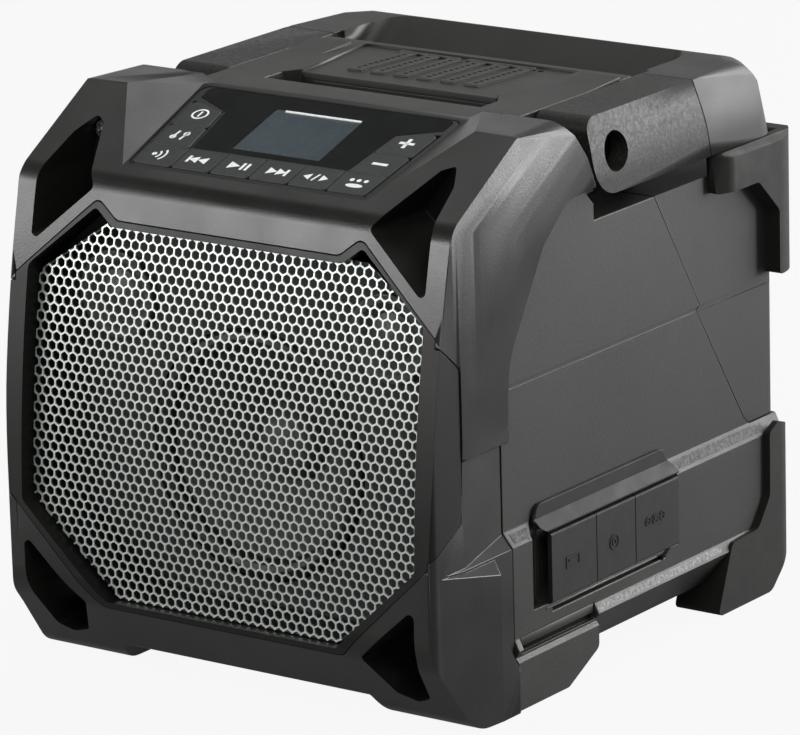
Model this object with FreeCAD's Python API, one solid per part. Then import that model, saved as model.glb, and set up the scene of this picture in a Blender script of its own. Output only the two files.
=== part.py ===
import FreeCAD, Part
import math
import os
from FreeCAD import Vector

# Wireless speaker with a battery bay and a folding carrying handle, in millimetres.
# X runs to the speaker's own left as seen by someone facing its front, so +X is the viewer's right.
# Y runs from the grille to the battery door, Z is up, and the origin is the bottom centre.

# Case widths, each measured from the middle plane and tied to the bezel's
bezel_half_width = 94.5
body_half_width = bezel_half_width - 3.5
skirt_half_width = bezel_half_width + 0.5
bumper_half_width = bezel_half_width + 3.0
clear_x = bumper_half_width + 10.0
wall = 3.0
seam_gap = 0.3

# Front face, a gentle forward curve standing on a cut-back lower edge
front_y = -121.0
rear_y = 121.0
sweep_radius = 587.0
sweep_bottom_z = 43.6
sweep_top_z = 176.3
chin_z = 31.8
chin_slope = 53.7
chin_radius = 22.0
sole_radius = 14.0
brow_radius = 12.0
ridge_slope = 31.2
ridge_top_z = 207.5
ridge_top_radius = 3.0
brow_rise = 6.5
bezel_corner_radius = 5.0

# Bezel rear boundary on the side of the case
bezel_back_y = -72.5
shoulder_foot_z = 130.0
shoulder_mid_y = -52.5
shoulder_mid_z = 166.8
shoulder_top_y = -37.6
shoulder_top_z = 179.6
shoulder_tip_y = -25.6
shoulder_tip_z = 180.6
deck_front_y = -37.0
bulge_rise = 3.0
bulge_peak_over = 0.9
bulge_crest_drop = 24.0
bulge_crest_radius = 140.0
bulge_foot_drop = 75.0
bulge_foot_radius = 180.0
bulge_start_y = -104.0
bulge_full_y = -78.0
bulge_plan_radius = 200.0
bulge_bottom_z = 100.0
facet_top_half = bezel_half_width - 19.8
facet_top_y = -60.0
guard_half_width = bumper_half_width
guard_front_inset = 1.8
guard_start_inset = 0.5
guard_inner_depth = 5.0
guard_rear_y = -83.3
guard_top_z = 55.0
guard_chamfer_z = 61.0
guard_start_y = -118.5

# Opening in the grille frame, whose widths follow from the bezel's
opening_half_width = bezel_half_width - 7.5
opening_top_z = 166.8
opening_bottom_z = 30.0
opening_top_half = opening_half_width - 36.5
opening_peak_half = opening_half_width - 28.4
opening_peak_z = 173.0
opening_side_top_z = 149.5
opening_side_bottom_z = 63.5
opening_bottom_half = opening_half_width - 36.0

# Grille frame, the ring that stands in front of the grille
frame_top_z = opening_top_z + 2.5
frame_top_half = opening_top_half - 1.7
frame_peak_z = opening_peak_z + 3.2
frame_peak_half = opening_peak_half - 0.8
frame_side_top_z = 143.9
frame_side_bottom_z = 68.0
frame_bottom_z = opening_bottom_z - 2.5
frame_bottom_half = opening_bottom_half + 2.2
frame_reach_y = -101.5
frame_overreach = 5.0
frame_side_half = skirt_half_width + frame_overreach
frame_top_run = 0.87
frame_wedge_rise = 11.0
frame_wedge_inset = 2.0
collar_thickness = 3.0

# Grille in the opening
grille_clearance = 0.4
grille_recess = 6.5
grille_thickness = 1.0
hole_across_flats = 8.4
hole_pitch = 10.8
hole_margin = 2.6
grille_bottom_half = opening_bottom_half - 2.0
grille_side_bottom_z = opening_side_bottom_z + 0.1
grille_side_top_z = opening_side_top_z - 3.5
grille_top_half = opening_half_width - 30.0

# Corner guard pockets
pocket_outer_half = bezel_half_width - 7.9
upper_pocket_depth_y = -72.0
lower_pocket_depth_y = -88.0
pocket_corner_radius = 2.0

# Control panel in its trough
panel_slope = 17.8
panel_front_y = -96.8
panel_front_z = 187.1
panel_bottom_half = 53.3
panel_top_half = 58.6
panel_length = 58.0
panel_thickness = 3.0
panel_corner_radius = 3.5
panel_ledge = 2.0
panel_rim = 1.3
panel_clearance = 0.25
key_gap = 0.35
key_height = 2.6
key_proud = 0.3
key_travel = 0.8
key_corner_radius = 1.2
key_row_bottom = 2.8
key_row_top = 15.6
key_pitch = 17.05
key_outer_foot = 50.7
key_outer_lean = 0.079
key_inner_foot = 35.2
key_inner_lean = 0.13
side_key_height = 13.8
window_thickness = 1.2
window_top = 56.5
display_half_width = 19.2
display_bottom = 20.2
display_top = 48.4
board_thickness = 1.6
board_inset = 0.5
switch_size = 6.0

# Top deck, phone slot and lid
deck_z = 203.9
deck_half_width = bezel_half_width - 26.1
deck_gap = 0.2
deck_rear_y = 48.0
deck_floor_z = 166.2
slot_front_y = -19.0
slot_rear_y = -2.0
slot_half_width = 44.0
slot_depth = 24.0
lid_front_half = 43.0
lid_rear_half = 47.6
lid_rear_y = 44.6
lid_thickness = 2.4
lid_floor = 1.6
lid_gap = 0.3
lid_top_z = 203.0
rib_count = 6
rib_pitch = 10.4
rib_length = 31.0
rib_width = 6.4
rib_rise = 0.8
rib_lean = 1.5
rib_middle_y = 24.0
dot_count = 9
dot_pitch = 3.1
dot_size = 1.5
pad_rise = 1.2
pad_front_y = 10.0
pad_inner_half = 52.0

# Handle and its pivot
pivot_y = -1.7
pivot_z = 189.6
handle_top_z = 204.0
handle_bottom_z = 174.8
handle_front_reach = 15.2
handle_front_radius = 14.6
handle_front_top_radius = 6.0
handle_rear_y = 108.2
handle_rear_lean = 9.7
handle_rear_radius = 4.0
handle_half_width = skirt_half_width
handle_top_half = handle_half_width - 4.0
handle_plan_radius = 15.0
arm_inner_half = deck_half_width + 0.7
arm_joint_top_y = 53.1
arm_joint_bottom_y = 59.0
recess_upper_y = -24.8
recess_upper_z = 192.6
recess_lower_y = -10.6
pivot_pin_radius = 5.0
pivot_bore_clearance = 0.06
pivot_head_radius = 6.9
pivot_head_height = 3.0
counterbore_radius = 7.3
counterbore_depth = 11.0
pivot_boss_radius = 9.0
pivot_boss_length = 13.4
grip_front_y = 58.0
grip_front_z = 188.5
grip_back_y = 95.0
dish_half_width = arm_inner_half - 1.3
dish_end_radius = 9.0
grip_floor_z = 178.0
arm_bow_height = 17.0
arm_bow_radius = 60.0
joint_gap = 0.15

# Side of the body
skirt_top_z = 61.0
skirt_slope_z = 66.0
ledge_top_z = 27.0
ledge_z = 23.0
ledge_half_width = skirt_half_width + 2.0
belly_z = 10.5
belly_half_width = skirt_half_width - 7.0
seam_top_y = 26.9
seam_step_y = 56.4
seam_step_z = 118.8
seam_step_back = 2.2
seam_step_drop = 2.2
seam_low_y = 85.0
seam_low_z = 69.0
seam_end_y = 88.6
seam_end_z = 65.8
body_corner_radius = 5.0
body_rear_y = 107.5
groove_z = 117.7
groove_height = 2.0
groove_depth = 0.6

# Feet of the case
foot_rear_y = -40.6
foot_end_y = -20.9
foot_half_width = skirt_half_width + 1.5
foot_inner_half = foot_half_width - 36.5
foot_top_z = 21.4
foot_chamfer = 2.4
foot_groove_front_y = -69.0
foot_groove_rear_y = -22.0
foot_groove_height = 5.6
notch_half = foot_inner_half - 5.0
notch_z = 8.8
pad_foot_radius = 8.0
pad_foot_height = 2.0
pad_foot_y = -62.0
pad_foot_x = foot_half_width - 17.5
pad_foot_gap = 0.1
case_lift = 0.8

# Screws at the back of the guard pockets
upper_screw_x = pocket_outer_half - 7.2
upper_screw_z = 192.2
lower_screw_x = pocket_outer_half - 8.6
lower_screw_z = 24.0
screw_head_radius = 3.6
screw_head_height = 2.6
screw_shank_radius = 1.5
screw_hole_clearance = 0.06
screw_length = 10.0
screw_slot_width = 1.2
screw_slot_depth = 1.3

# Ports behind their flaps
port_front_y = -50.0
port_divider_one_y = -21.2
port_divider_two_y = 4.0
port_rear_y = 33.0
port_bottom_z = 34.8
port_bend_z = 63.0
port_strip_top_z = 71.8
port_strip_rear_y = 28.0
flap_thickness = 2.0
flap_gap = 0.4
finger_gap_y = -60.0
port_floor_depth = 5.0
socket_depth = 9.0
socket_gap = 0.2
usb_y = -36.0
usb_half_width = 7.2
usb_half_height = 3.5
usb_shell = 0.9
aux_y = -8.6
aux_radius = 4.0
aux_bore_radius = 1.8
power_y = 18.5
power_radius = 5.5
power_bore_radius = 3.2
power_pin_radius = 1.0
flap_hinge_z = 61.0

# Bumpers at the rear corners
bumper_wrap_x = bumper_half_width - 26.5
upper_bumper_front_y = 61.5
upper_bumper_top_z = 174.4
upper_bumper_low_z = 159.3
upper_bumper_rear_low_z = 121.0
upper_bumper_inner_y = 101.3
upper_bumper_plan_radius = 18.5
bumper_chamfer = 2.4
lower_bumper_rear_y = 112.4
lower_bumper_plan_radius = 12.0
lower_bumper_top_z = 65.0
bumper_foot_inner = bumper_half_width - 19.5

# Battery door, bay and latch
door_half_width = 60.0
door_bottom_z = 31.0
door_top_z = 150.0
door_thickness = 5.0
door_gap = 0.5
door_hinge_z = 29.0
door_hinge_y = 111.4
hinge_barrel_radius = 3.4
hinge_pin_radius = 1.5
hinge_pin_clearance = 0.05
knuckle_outer_half = 54.0
knuckle_width = 8.0
knuckle_gap = 0.5
door_rib_count = 4
door_rib_pitch = 20.0
door_rib_low_z = 52.0
door_rib_height = 4.0
door_rib_half = 42.0
door_rib_rise = 1.2
bay_half_width = 54.0
bay_depth = 46.0
bay_bottom_z = 36.0
bay_top_z = 145.0
bay_wall = 2.5
bay_gap = 0.3
board_gap = 0.3
bay_flange = 8.0
latch_half_width = 16.0
latch_gap = 0.4
latch_ear_width = 4.0
latch_ear_radius = 3.0
latch_barrel_radius = 2.2
latch_pin_radius = 1.5
latch_pivot_z = 138.0
latch_top_z = 158.0

# Terminal block in the bay, the main board and its heat sink
terminal_half_width = 22.0
terminal_height = 46.0
terminal_depth = 12.0
terminal_slot = 2.4
terminal_slot_places = (-16.0, -5.0, 5.0, 16.0)
terminal_rail = 3.5
main_board_half_width = 70.0
main_board_top_z = 150.0
sink_half_width = 30.0
sink_bottom_z = 118.0
sink_height = 28.0
sink_depth = 14.0
sink_base = 3.0
sink_fin_pitch = 6.0
sink_fin_gap = 3.4

# Loudspeakers
woofer_z = 86.0
woofer_radius = 50.8
woofer_flange = 5.0
woofer_depth = 42.0
magnet_radius = 36.0
magnet_length = 18.0
coil_passage_radius = 13.9
coil_radius = 13.0
basket_neck_radius = 14.0
tweeter_x = opening_half_width - 27.0
tweeter_z = 138.0
tweeter_radius = 15.0
baffle_y = -93.0
baffle_thickness = 6.0


def corner_arc(before, corner, after, radius):
    """Tangent points and middle point of a rounded corner."""
    to_before = (before - corner).normalize()
    to_after = (after - corner).normalize()
    half_angle = to_before.getAngle(to_after) / 2
    reach = radius / math.tan(half_angle)
    middle = (to_before + to_after).normalize()
    centre = corner + middle * (radius / math.sin(half_angle))
    return corner + to_before * reach, centre - middle * radius, corner + to_after * reach


def outline(points, place):
    """Closed wire through (u, v) corners, or (u, v, radius) where a corner is rounded."""
    flat = [Vector(p[0], p[1], 0) for p in points]
    stops = []
    for index, point in enumerate(points):
        if len(point) > 2 and point[2] > 0:
            arc = corner_arc(flat[index - 1], flat[index], flat[(index + 1) % len(flat)], point[2])
            stops.append(arc)
        else:
            stops.append((flat[index],))
    edges = []
    for index, stop in enumerate(stops):
        if len(stop) == 3:
            edges.append(Part.Arc(place(stop[0]), place(stop[1]), place(stop[2])).toShape())
        after = stops[(index + 1) % len(stops)][0]
        if (stop[-1] - after).Length > 1e-6:
            edges.append(Part.LineSegment(place(stop[-1]), place(after)).toShape())
    return Part.Wire(edges)


def prism_yz(points, x_from, x_to):
    """Solid of a side-view outline, from one X to another."""
    wire = outline(points, lambda p: Vector(x_from, p.x, p.y))
    return Part.Face(wire).extrude(Vector(x_to - x_from, 0, 0))


def prism_xz(points, y_from, y_to):
    """Solid of a front-view outline, from one Y to another."""
    wire = outline(points, lambda p: Vector(p.x, y_from, p.y))
    return Part.Face(wire).extrude(Vector(0, y_to - y_from, 0))


def prism_xy(points, z_from, z_to):
    """Solid of a top-view outline, from one Z to another."""
    wire = outline(points, lambda p: Vector(p.x, p.y, z_from))
    return Part.Face(wire).extrude(Vector(0, 0, z_to - z_from))


def block(x_from, x_to, y_from, y_to, z_from, z_to):
    """Box between two corners."""
    return Part.makeBox(x_to - x_from, y_to - y_from, z_to - z_from, Vector(x_from, y_from, z_from))


def rod_x(x_from, x_to, y, z, radius):
    """Round bar along X."""
    return Part.makeCylinder(radius, x_to - x_from, Vector(x_from, y, z), Vector(1, 0, 0))


def rod_y(x, y_from, y_to, z, radius):
    """Round bar along Y."""
    return Part.makeCylinder(radius, y_to - y_from, Vector(x, y_from, z), Vector(0, 1, 0))


def rod_z(x, y, z_from, z_to, radius):
    """Round bar along Z."""
    return Part.makeCylinder(radius, z_to - z_from, Vector(x, y, z_from), Vector(0, 0, 1))


def mirrored(shape):
    """The same shape on the other side of the middle plane."""
    return shape.mirror(Vector(0, 0, 0), Vector(1, 0, 0))


def both_sides(shape):
    """A shape and its mirror image."""
    return Part.Compound([shape, mirrored(shape)])


def symmetric(right_half):
    """Outline closed across the middle plane from its right half, listed bottom to top."""
    left = [(-p[0],) + tuple(p[1:]) for p in reversed(right_half)]
    return list(right_half) + left


def single(shape):
    """The one solid of a shape, with leftover face seams removed."""
    return max(shape.removeSplitter().Solids, key=lambda solid: solid.Volume)


def slab_above(point, normal, reach=400.0):
    """Large block whose lower face passes through a point, square to a normal."""
    slab = Part.makeBox(reach, reach, reach, Vector(-reach / 2, -reach / 2, 0))
    slab.Placement = FreeCAD.Placement(point, FreeCAD.Rotation(Vector(0, 0, 1), normal))
    return slab


def on_panel(shape):
    """Move a shape drawn flat, with its lower edge at Y = 0, onto the sloping control panel."""
    tilt = FreeCAD.Rotation(Vector(1, 0, 0), panel_slope)
    shape.Placement = FreeCAD.Placement(Vector(0, panel_front_y, panel_front_z), tilt)
    return shape


# Curved front of the case

def sweep_lean():
    """Lean of the front at the top of its curve, in radians."""
    return math.asin((sweep_top_z - sweep_bottom_z) / sweep_radius)


def front_face_y(z):
    """Y of the curved front at a height."""
    rise = max(0.0, z - sweep_bottom_z)
    return front_y + sweep_radius - math.sqrt(sweep_radius ** 2 - rise ** 2)


def front_points(inset=0.0):
    """Side view of the front from its sole to the ridge, moved in by an inset."""
    lean = sweep_lean()
    slope = math.radians(chin_slope)
    sweep_corner_z = sweep_bottom_z + sweep_radius * math.tan(lean / 2)
    brow_y = front_face_y(sweep_top_z) + brow_rise * math.sin(lean)
    brow_z = sweep_top_z + brow_rise * math.cos(lean)
    sole_y = front_y + (chin_z - case_lift) / math.tan(slope)
    ridge_y = brow_y + (ridge_top_z - brow_z) / math.tan(math.radians(ridge_slope))
    return [
        (sole_y + inset * 0.6, case_lift + inset, sole_radius),
        (front_y + inset, chin_z + inset * 0.4, chin_radius - inset),
        (front_y + inset, sweep_corner_z, sweep_radius - inset),
        (brow_y + inset * 0.9, brow_z - inset * 0.4, brow_radius - inset),
        (ridge_y + inset * 0.5, ridge_top_z - inset, ridge_top_radius),
    ]


def shoulder_points(gap=0.0):
    """Side view of the line where the bezel ends on the case, from the top down."""
    return [
        (shoulder_tip_y + 14.0, shoulder_tip_z - gap),
        (shoulder_top_y, shoulder_top_z - gap, 5.0),
        (shoulder_mid_y + gap, shoulder_mid_z - gap, 12.0),
        (bezel_back_y + gap, shoulder_foot_z - gap, 30.0),
    ]


def recess_tool():
    """Space in which the handle arms lie, on one side, down to the deck floor."""
    points = [
        (shoulder_top_y - 9.0, ridge_top_z + 12.0),
        (deck_front_y + 0.5, ridge_top_z),
        (recess_upper_y, recess_upper_z, 16.0),
        (recess_lower_y, deck_floor_z, 26.0),
        (rear_y + 10.0, deck_floor_z),
        (rear_y + 10.0, ridge_top_z + 12.0),
    ]
    return prism_yz(points, deck_half_width + deck_gap, clear_x)


def trough():
    """Space above the control panel, between the sloping facets of the two guards."""
    slope = math.tan(math.radians(panel_slope))
    crest_y = panel_front_y + panel_length * math.cos(math.radians(panel_slope))
    crest_z = panel_front_z + slope * (crest_y - panel_front_y)
    front = panel_front_y - 20.0
    floor = [
        (front, panel_front_z - 20.0 * slope),
        (crest_y, crest_z),
        (crest_y + 40.0, crest_z),
        (crest_y + 40.0, ridge_top_z + 10.0),
        (front, ridge_top_z + 10.0),
    ]
    space = prism_yz(floor, -bezel_half_width, bezel_half_width)
    tip = Vector(panel_bottom_half, panel_front_y, panel_front_z)
    upper = Vector(panel_top_half, crest_y, crest_z)
    guard_top = Vector(facet_top_half, facet_top_y, ridge_top_z)
    normal = (guard_top - tip).cross(upper - tip).normalize()
    if normal.z < 0:
        normal = normal * -1.0
    right = slab_above(tip, normal)
    return space.common(right).common(mirrored(right))


def panel_outline(grow=0.0):
    """Trapezium of the control panel, drawn flat."""
    slope = (panel_top_half - panel_bottom_half) / panel_length
    low = panel_rim - grow
    high = panel_length - panel_rim + grow
    right = [
        (panel_bottom_half - panel_rim + grow + slope * low, low, panel_corner_radius),
        (panel_bottom_half - panel_rim + grow + slope * high, high, panel_corner_radius),
    ]
    return symmetric(right)


def flat_plate(points, h_from, h_to):
    """Plate drawn flat in panel coordinates, between two heights over the panel."""
    return prism_xy(points, h_from, h_to)


def octagon(grow=0.0):
    """Front view of the grille frame with its two peaks, grown by a gap."""
    right = [
        (frame_bottom_half + grow * 0.4, frame_bottom_z - grow, 6.0),
        (frame_side_half, frame_side_bottom_z - grow + frame_overreach),
        (frame_side_half, frame_side_top_z + grow - frame_overreach * frame_top_run),
        (frame_peak_half, frame_peak_z + grow * 1.3, 3.5),
        (frame_top_half - grow * 0.3, frame_top_z + grow, 5.0),
    ]
    return symmetric(right)


def opening_outline(grow=0.0):
    """Front view of the opening in the grille frame."""
    right = [
        (opening_bottom_half + grow * 0.4, opening_bottom_z - grow, 4.0),
        (opening_half_width + grow, opening_side_bottom_z - grow * 0.4, 4.0),
        (opening_half_width + grow, opening_side_top_z + grow * 0.4, 4.0),
        (opening_peak_half, opening_peak_z + grow * 1.3, 2.0),
        (opening_top_half - grow * 0.3, opening_top_z + grow, 3.0),
    ]
    return symmetric(right)


def grille_outline(inset=0.0):
    """Front view of the grille, moved in by an inset."""
    right = [
        (grille_bottom_half - inset * 0.4, opening_bottom_z + grille_clearance + inset, 5.0),
        (opening_half_width - grille_clearance - inset, grille_side_bottom_z + inset * 0.4, 5.0),
        (opening_half_width - grille_clearance - inset, grille_side_top_z - inset * 0.4, 5.0),
        (grille_top_half - inset * 0.4, opening_top_z - grille_clearance - inset, 4.0),
    ]
    return symmetric(right)


def frame_side_wedges(gap=0.0):
    """Corners beside the frame where its edge slants back across the side of the case."""
    top_y = front_face_y(frame_side_top_z)
    low_y = front_face_y(frame_side_bottom_z)
    upper = [
        (top_y - 1.0, frame_side_top_z - gap),
        (frame_reach_y + 1.0, frame_side_top_z - frame_wedge_rise - gap),
        (frame_reach_y + 1.0, frame_side_top_z + 20.0),
        (top_y - 1.0, frame_side_top_z + 20.0),
    ]
    lower = [
        (low_y - 1.0, frame_side_bottom_z - 20.0),
        (frame_reach_y + 1.0, frame_side_bottom_z - 20.0),
        (frame_reach_y + 1.0, frame_side_bottom_z + frame_wedge_rise + gap),
        (low_y - 1.0, frame_side_bottom_z + gap),
    ]
    inner = bezel_half_width - frame_wedge_inset
    outer = frame_side_half + 1.0
    wedges = prism_yz(upper, inner, outer).fuse(prism_yz(lower, inner, outer))
    return wedges.fuse(mirrored(wedges))


def frame_region(gap=0.0):
    """Part of the case front that belongs to the grille frame, grown by a gap."""
    region = prism_xz(octagon(gap), front_y - 10.0, frame_reach_y + gap)
    return region.cut(frame_side_wedges(-gap))


def guard_bulge():
    """Swelling of the upper guard's outer face, which runs along the ridge and fades out below."""
    slope = math.radians(ridge_slope)
    inner = body_half_width - 6.0
    edge = bezel_half_width + bulge_rise
    side = front_points()[3:] + [(shoulder_tip_y + 14.0, ridge_top_z)] + shoulder_points()
    side += [(bezel_back_y, bulge_bottom_z), (front_y, bulge_bottom_z)]
    slab = prism_yz(side, inner, edge)
    down = Vector(0, math.sin(slope), -math.cos(slope))
    along = Vector(0, math.cos(slope), math.sin(slope))
    reach = 160.0
    start = Vector(0, front_points()[4][0], ridge_top_z) - along * reach
    section = outline([
        (inner, -10.0),
        (bezel_half_width, -10.0),
        (bezel_half_width, 0.0),
        (edge + bulge_peak_over, bulge_crest_drop, bulge_crest_radius),
        (bezel_half_width, bulge_foot_drop, bulge_foot_radius),
        (bezel_half_width, reach),
        (inner, reach),
    ], lambda p: start + Vector(p.x, 0, 0) + down * p.y)
    swelling = Part.Face(section).extrude(along * (2 * reach))
    taper = prism_xy([
        (inner, front_y),
        (bezel_half_width, front_y),
        (bezel_half_width, bulge_start_y, bulge_plan_radius),
        (edge, bulge_full_y, bulge_plan_radius),
        (edge, 0.0),
        (inner, 0.0),
    ], 0.0, ridge_top_z)
    return slab.common(swelling).common(taper)


def front_bezel():
    """Front casing with the corner guards, control panel deck and chin."""
    side = front_points()
    side += [(shoulder_tip_y + 14.0, ridge_top_z)]
    side += shoulder_points()
    side += [(bezel_back_y, case_lift)]
    body = prism_yz(side, -bezel_half_width, bezel_half_width)
    plan = symmetric([
        (bezel_half_width, front_y - 1.0, bezel_corner_radius),
        (bezel_half_width, frame_reach_y + 1.0),
        (body_half_width, bezel_back_y),
        (body_half_width, 0.0),
    ])
    body = body.common(prism_xy(plan, -1.0, ridge_top_z + 5.0))
    for guard in (guard_bulge(), bezel_skirt(), corner_bumper()):
        body = body.fuse(guard).fuse(mirrored(guard))
    body = body.cut(bezel_cavity())
    recess = recess_tool()
    body = body.cut(trough()).cut(recess).cut(mirrored(recess))
    deck_edge = deck_half_width + deck_gap
    deck_space = block(-deck_edge, deck_edge, deck_front_y, 0.0, deck_floor_z - 20.0, ridge_top_z + 5.0)
    body = body.cut(deck_space)
    body = body.cut(frame_region(seam_gap))
    shaft = prism_xz(octagon(seam_gap), front_y - 10.0, baffle_y + baffle_thickness + 1.0)
    reach = body_half_width + 1.0
    shaft = shaft.common(block(-reach, reach, front_y - 9.0, 0.0, 0.0, ridge_top_z))
    behind = prism_xz(opening_outline(collar_thickness + seam_gap), frame_reach_y - 1.0 - seam_gap,
                      baffle_y + baffle_thickness + 1.0)
    body = body.cut(shaft).cut(behind)
    for pocket in pockets():
        body = body.cut(pocket)
    body = body.cut(sole_notch())
    for x, y, z in screw_places():
        hole = rod_y(x, y - 1.0, y + screw_length + 0.5, z, screw_shank_radius + screw_hole_clearance)
        body = body.cut(hole).cut(mirrored(hole))
    low = -board_depth() - board_thickness - 2.0
    socket = on_panel(flat_plate(panel_outline(panel_clearance), -panel_thickness - 0.3, 5.0))
    through = on_panel(flat_plate(panel_outline(-panel_ledge), low, 5.0))
    seat = on_panel(flat_plate(panel_outline(panel_clearance - board_inset), low, -board_depth()))
    return single(body.cut(socket).cut(through).cut(seat))


def corner_bumper():
    """Raised side of the lower corner guard, flaring out towards its rear edge."""
    side = front_points()[:2] + [
        (front_y, guard_chamfer_z),
        (guard_rear_y, guard_chamfer_z),
        (guard_rear_y, 34.0, 10.0),
        (-73.0, 17.0),
        (bezel_back_y, 17.0),
        (bezel_back_y, case_lift),
    ]
    inner = bezel_half_width - guard_inner_depth
    raised = prism_yz(side, inner, guard_half_width)
    flare = prism_xy([
        (inner, front_y),
        (bezel_half_width - guard_front_inset, front_y),
        (bezel_half_width - guard_start_inset, guard_start_y),
        (guard_half_width, guard_rear_y),
        (guard_half_width, 0.0),
        (inner, 0.0),
    ], -1.0, 90.0)
    chamfer = prism_xz([
        (inner, -1.0),
        (guard_half_width, -1.0),
        (guard_half_width, guard_top_z),
        (bezel_half_width, guard_chamfer_z),
        (inner, guard_chamfer_z),
    ], front_y - 1.0, 0.0)
    return raised.common(flare).common(chamfer)


def bezel_skirt():
    """Lower part of the bezel's side, level with the skirt of the case."""
    side = front_points()[:2] + [
        (front_y, skirt_slope_z),
        (bezel_back_y, skirt_slope_z),
        (bezel_back_y, case_lift),
    ]
    inner = bezel_half_width - guard_inner_depth
    band = prism_yz(side, inner, skirt_half_width)
    section = prism_xz([
        (inner, -1.0),
        (skirt_half_width, -1.0),
        (skirt_half_width, skirt_top_z),
        (body_half_width, skirt_slope_z),
        (inner, skirt_slope_z),
    ], front_y - 1.0, 0.0)
    plan = prism_xy([
        (inner, front_y),
        (bezel_half_width - guard_front_inset, front_y),
        (bezel_half_width - guard_start_inset, guard_start_y),
        (skirt_half_width, frame_reach_y),
        (skirt_half_width, 0.0),
        (inner, 0.0),
    ], -1.0, skirt_slope_z)
    return band.common(section).common(plan)


def pocket_outlines(grow=0.0):
    """Front view of the upper and lower pockets in the right guard, grown by a wall."""
    edge = pocket_outer_half + grow
    radius = pocket_corner_radius + grow
    outer = pocket_outer_half
    upper = [
        (outer - 26.3 - grow * 1.9, 179.6 + grow * 0.4, radius),
        (edge, 157.2 - grow * 2.1, radius),
        (edge, 181.0, 12.0),
        (outer - 3.0 + grow, 193.5 + grow * 0.5, 4.0),
        (outer - 7.6 + grow * 0.4, 198.6 + grow, radius),
        (outer - 12.4 - grow * 0.3, 197.0 + grow, radius),
    ]
    lower = [
        (edge, 51.0 + grow * 2.1, radius),
        (outer - 25.4 - grow * 1.9, 28.2 - grow * 0.4, radius),
        (outer - 17.6 - grow * 0.8, 13.5 - grow, 3.0),
        (outer - 9.6, 11.0 - grow, 4.0),
        (outer - 3.2 + grow * 0.8, 13.6 - grow, 3.0),
        (edge, 32.0, 14.0),
    ]
    return upper, lower


def pockets():
    """Triangular pockets in the four corner guards."""
    upper, lower = pocket_outlines()
    top = prism_xz(upper, front_y - 5.0, upper_pocket_depth_y)
    bottom = prism_xz(lower, front_y - 5.0, lower_pocket_depth_y)
    return [top, mirrored(top), bottom, mirrored(bottom)]


def bezel_cavity():
    """Hollow of the bezel, open to the rear, that leaves walls round the guard pockets."""
    slope = math.tan(math.radians(panel_slope))
    floor_z = notch_z + wall
    rear = deck_front_y - wall
    ceiling = panel_front_z - board_depth() - board_thickness - 1.0
    chin_run = (chin_z - floor_z) / math.tan(math.radians(chin_slope))
    side = [
        (front_y + chin_run + wall * 1.3, floor_z),
        (front_y + wall, chin_z + wall * 0.5),
        (front_y + wall, sweep_bottom_z),
        (front_face_y(sweep_top_z) + wall, sweep_top_z - wall),
        (panel_front_y + 2.0, ceiling),
        (rear, ceiling + slope * (rear - panel_front_y - 2.0)),
        (rear, shoulder_tip_z - 12.0),
        (shoulder_tip_y + 14.0, shoulder_tip_z - 14.0),
        (shoulder_tip_y + 14.0, floor_z),
    ]
    hollow = prism_yz(side, -body_half_width + wall, body_half_width - wall)
    upper, lower = pocket_outlines(wall)
    for liner in (prism_xz(upper, front_y, upper_pocket_depth_y + wall),
                  prism_xz(lower, front_y, lower_pocket_depth_y + wall)):
        hollow = hollow.cut(liner).cut(mirrored(liner))
    return hollow


def sole_notch():
    """Raised middle of the underside between the two front feet."""
    points = symmetric([(foot_inner_half, -1.0), (notch_half, notch_z)])
    return prism_xz(points, front_y - 5.0, 0.0)


# Front pieces

def grille_frame():
    """Ring round the grille, wrapped onto the sides, with a collar reaching back to the baffle."""
    side = front_points()
    side += [(0.0, ridge_top_z), (0.0, case_lift)]
    skin = prism_yz(side, -bezel_half_width, bezel_half_width)
    plan = symmetric([
        (bezel_half_width, front_y - 1.0, bezel_corner_radius),
        (bezel_half_width, 0.0),
    ])
    skin = skin.common(prism_xy(plan, -1.0, ridge_top_z + 5.0))
    ring = skin.common(frame_region())
    ring = ring.cut(prism_xz(opening_outline(), front_y - 10.0, 0.0))
    collar = prism_xz(opening_outline(collar_thickness), frame_reach_y - 1.0, baffle_y - seam_gap)
    collar = collar.cut(prism_xz(opening_outline(), front_y - 10.0, 0.0))
    collar = collar.common(skin)
    return single(ring.fuse(collar))


def grille_surface(depth):
    """Everything behind the grille's curved face at a depth, as far as the baffle."""
    lean = sweep_lean()
    face_y = front_y + depth
    corner_z = sweep_bottom_z + sweep_radius * math.tan(lean / 2)
    top_y = front_face_y(sweep_top_z) + depth
    points = [
        (face_y, 0.0),
        (face_y, corner_z, sweep_radius - depth),
        (top_y, sweep_top_z),
        (baffle_y - seam_gap, sweep_top_z),
        (baffle_y - seam_gap, 0.0),
    ]
    return prism_yz(points, -opening_half_width, opening_half_width)


def hexagon(x, z, across, y_from, y_to):
    """Pointed-top hexagonal bar along Y."""
    radius = across / math.sqrt(3)
    corners = []
    for step in range(6):
        angle = math.radians(60 * step + 30)
        corners.append((x + radius * math.cos(angle), z + radius * math.sin(angle)))
    return prism_xz(corners, y_from, y_to)


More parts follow.
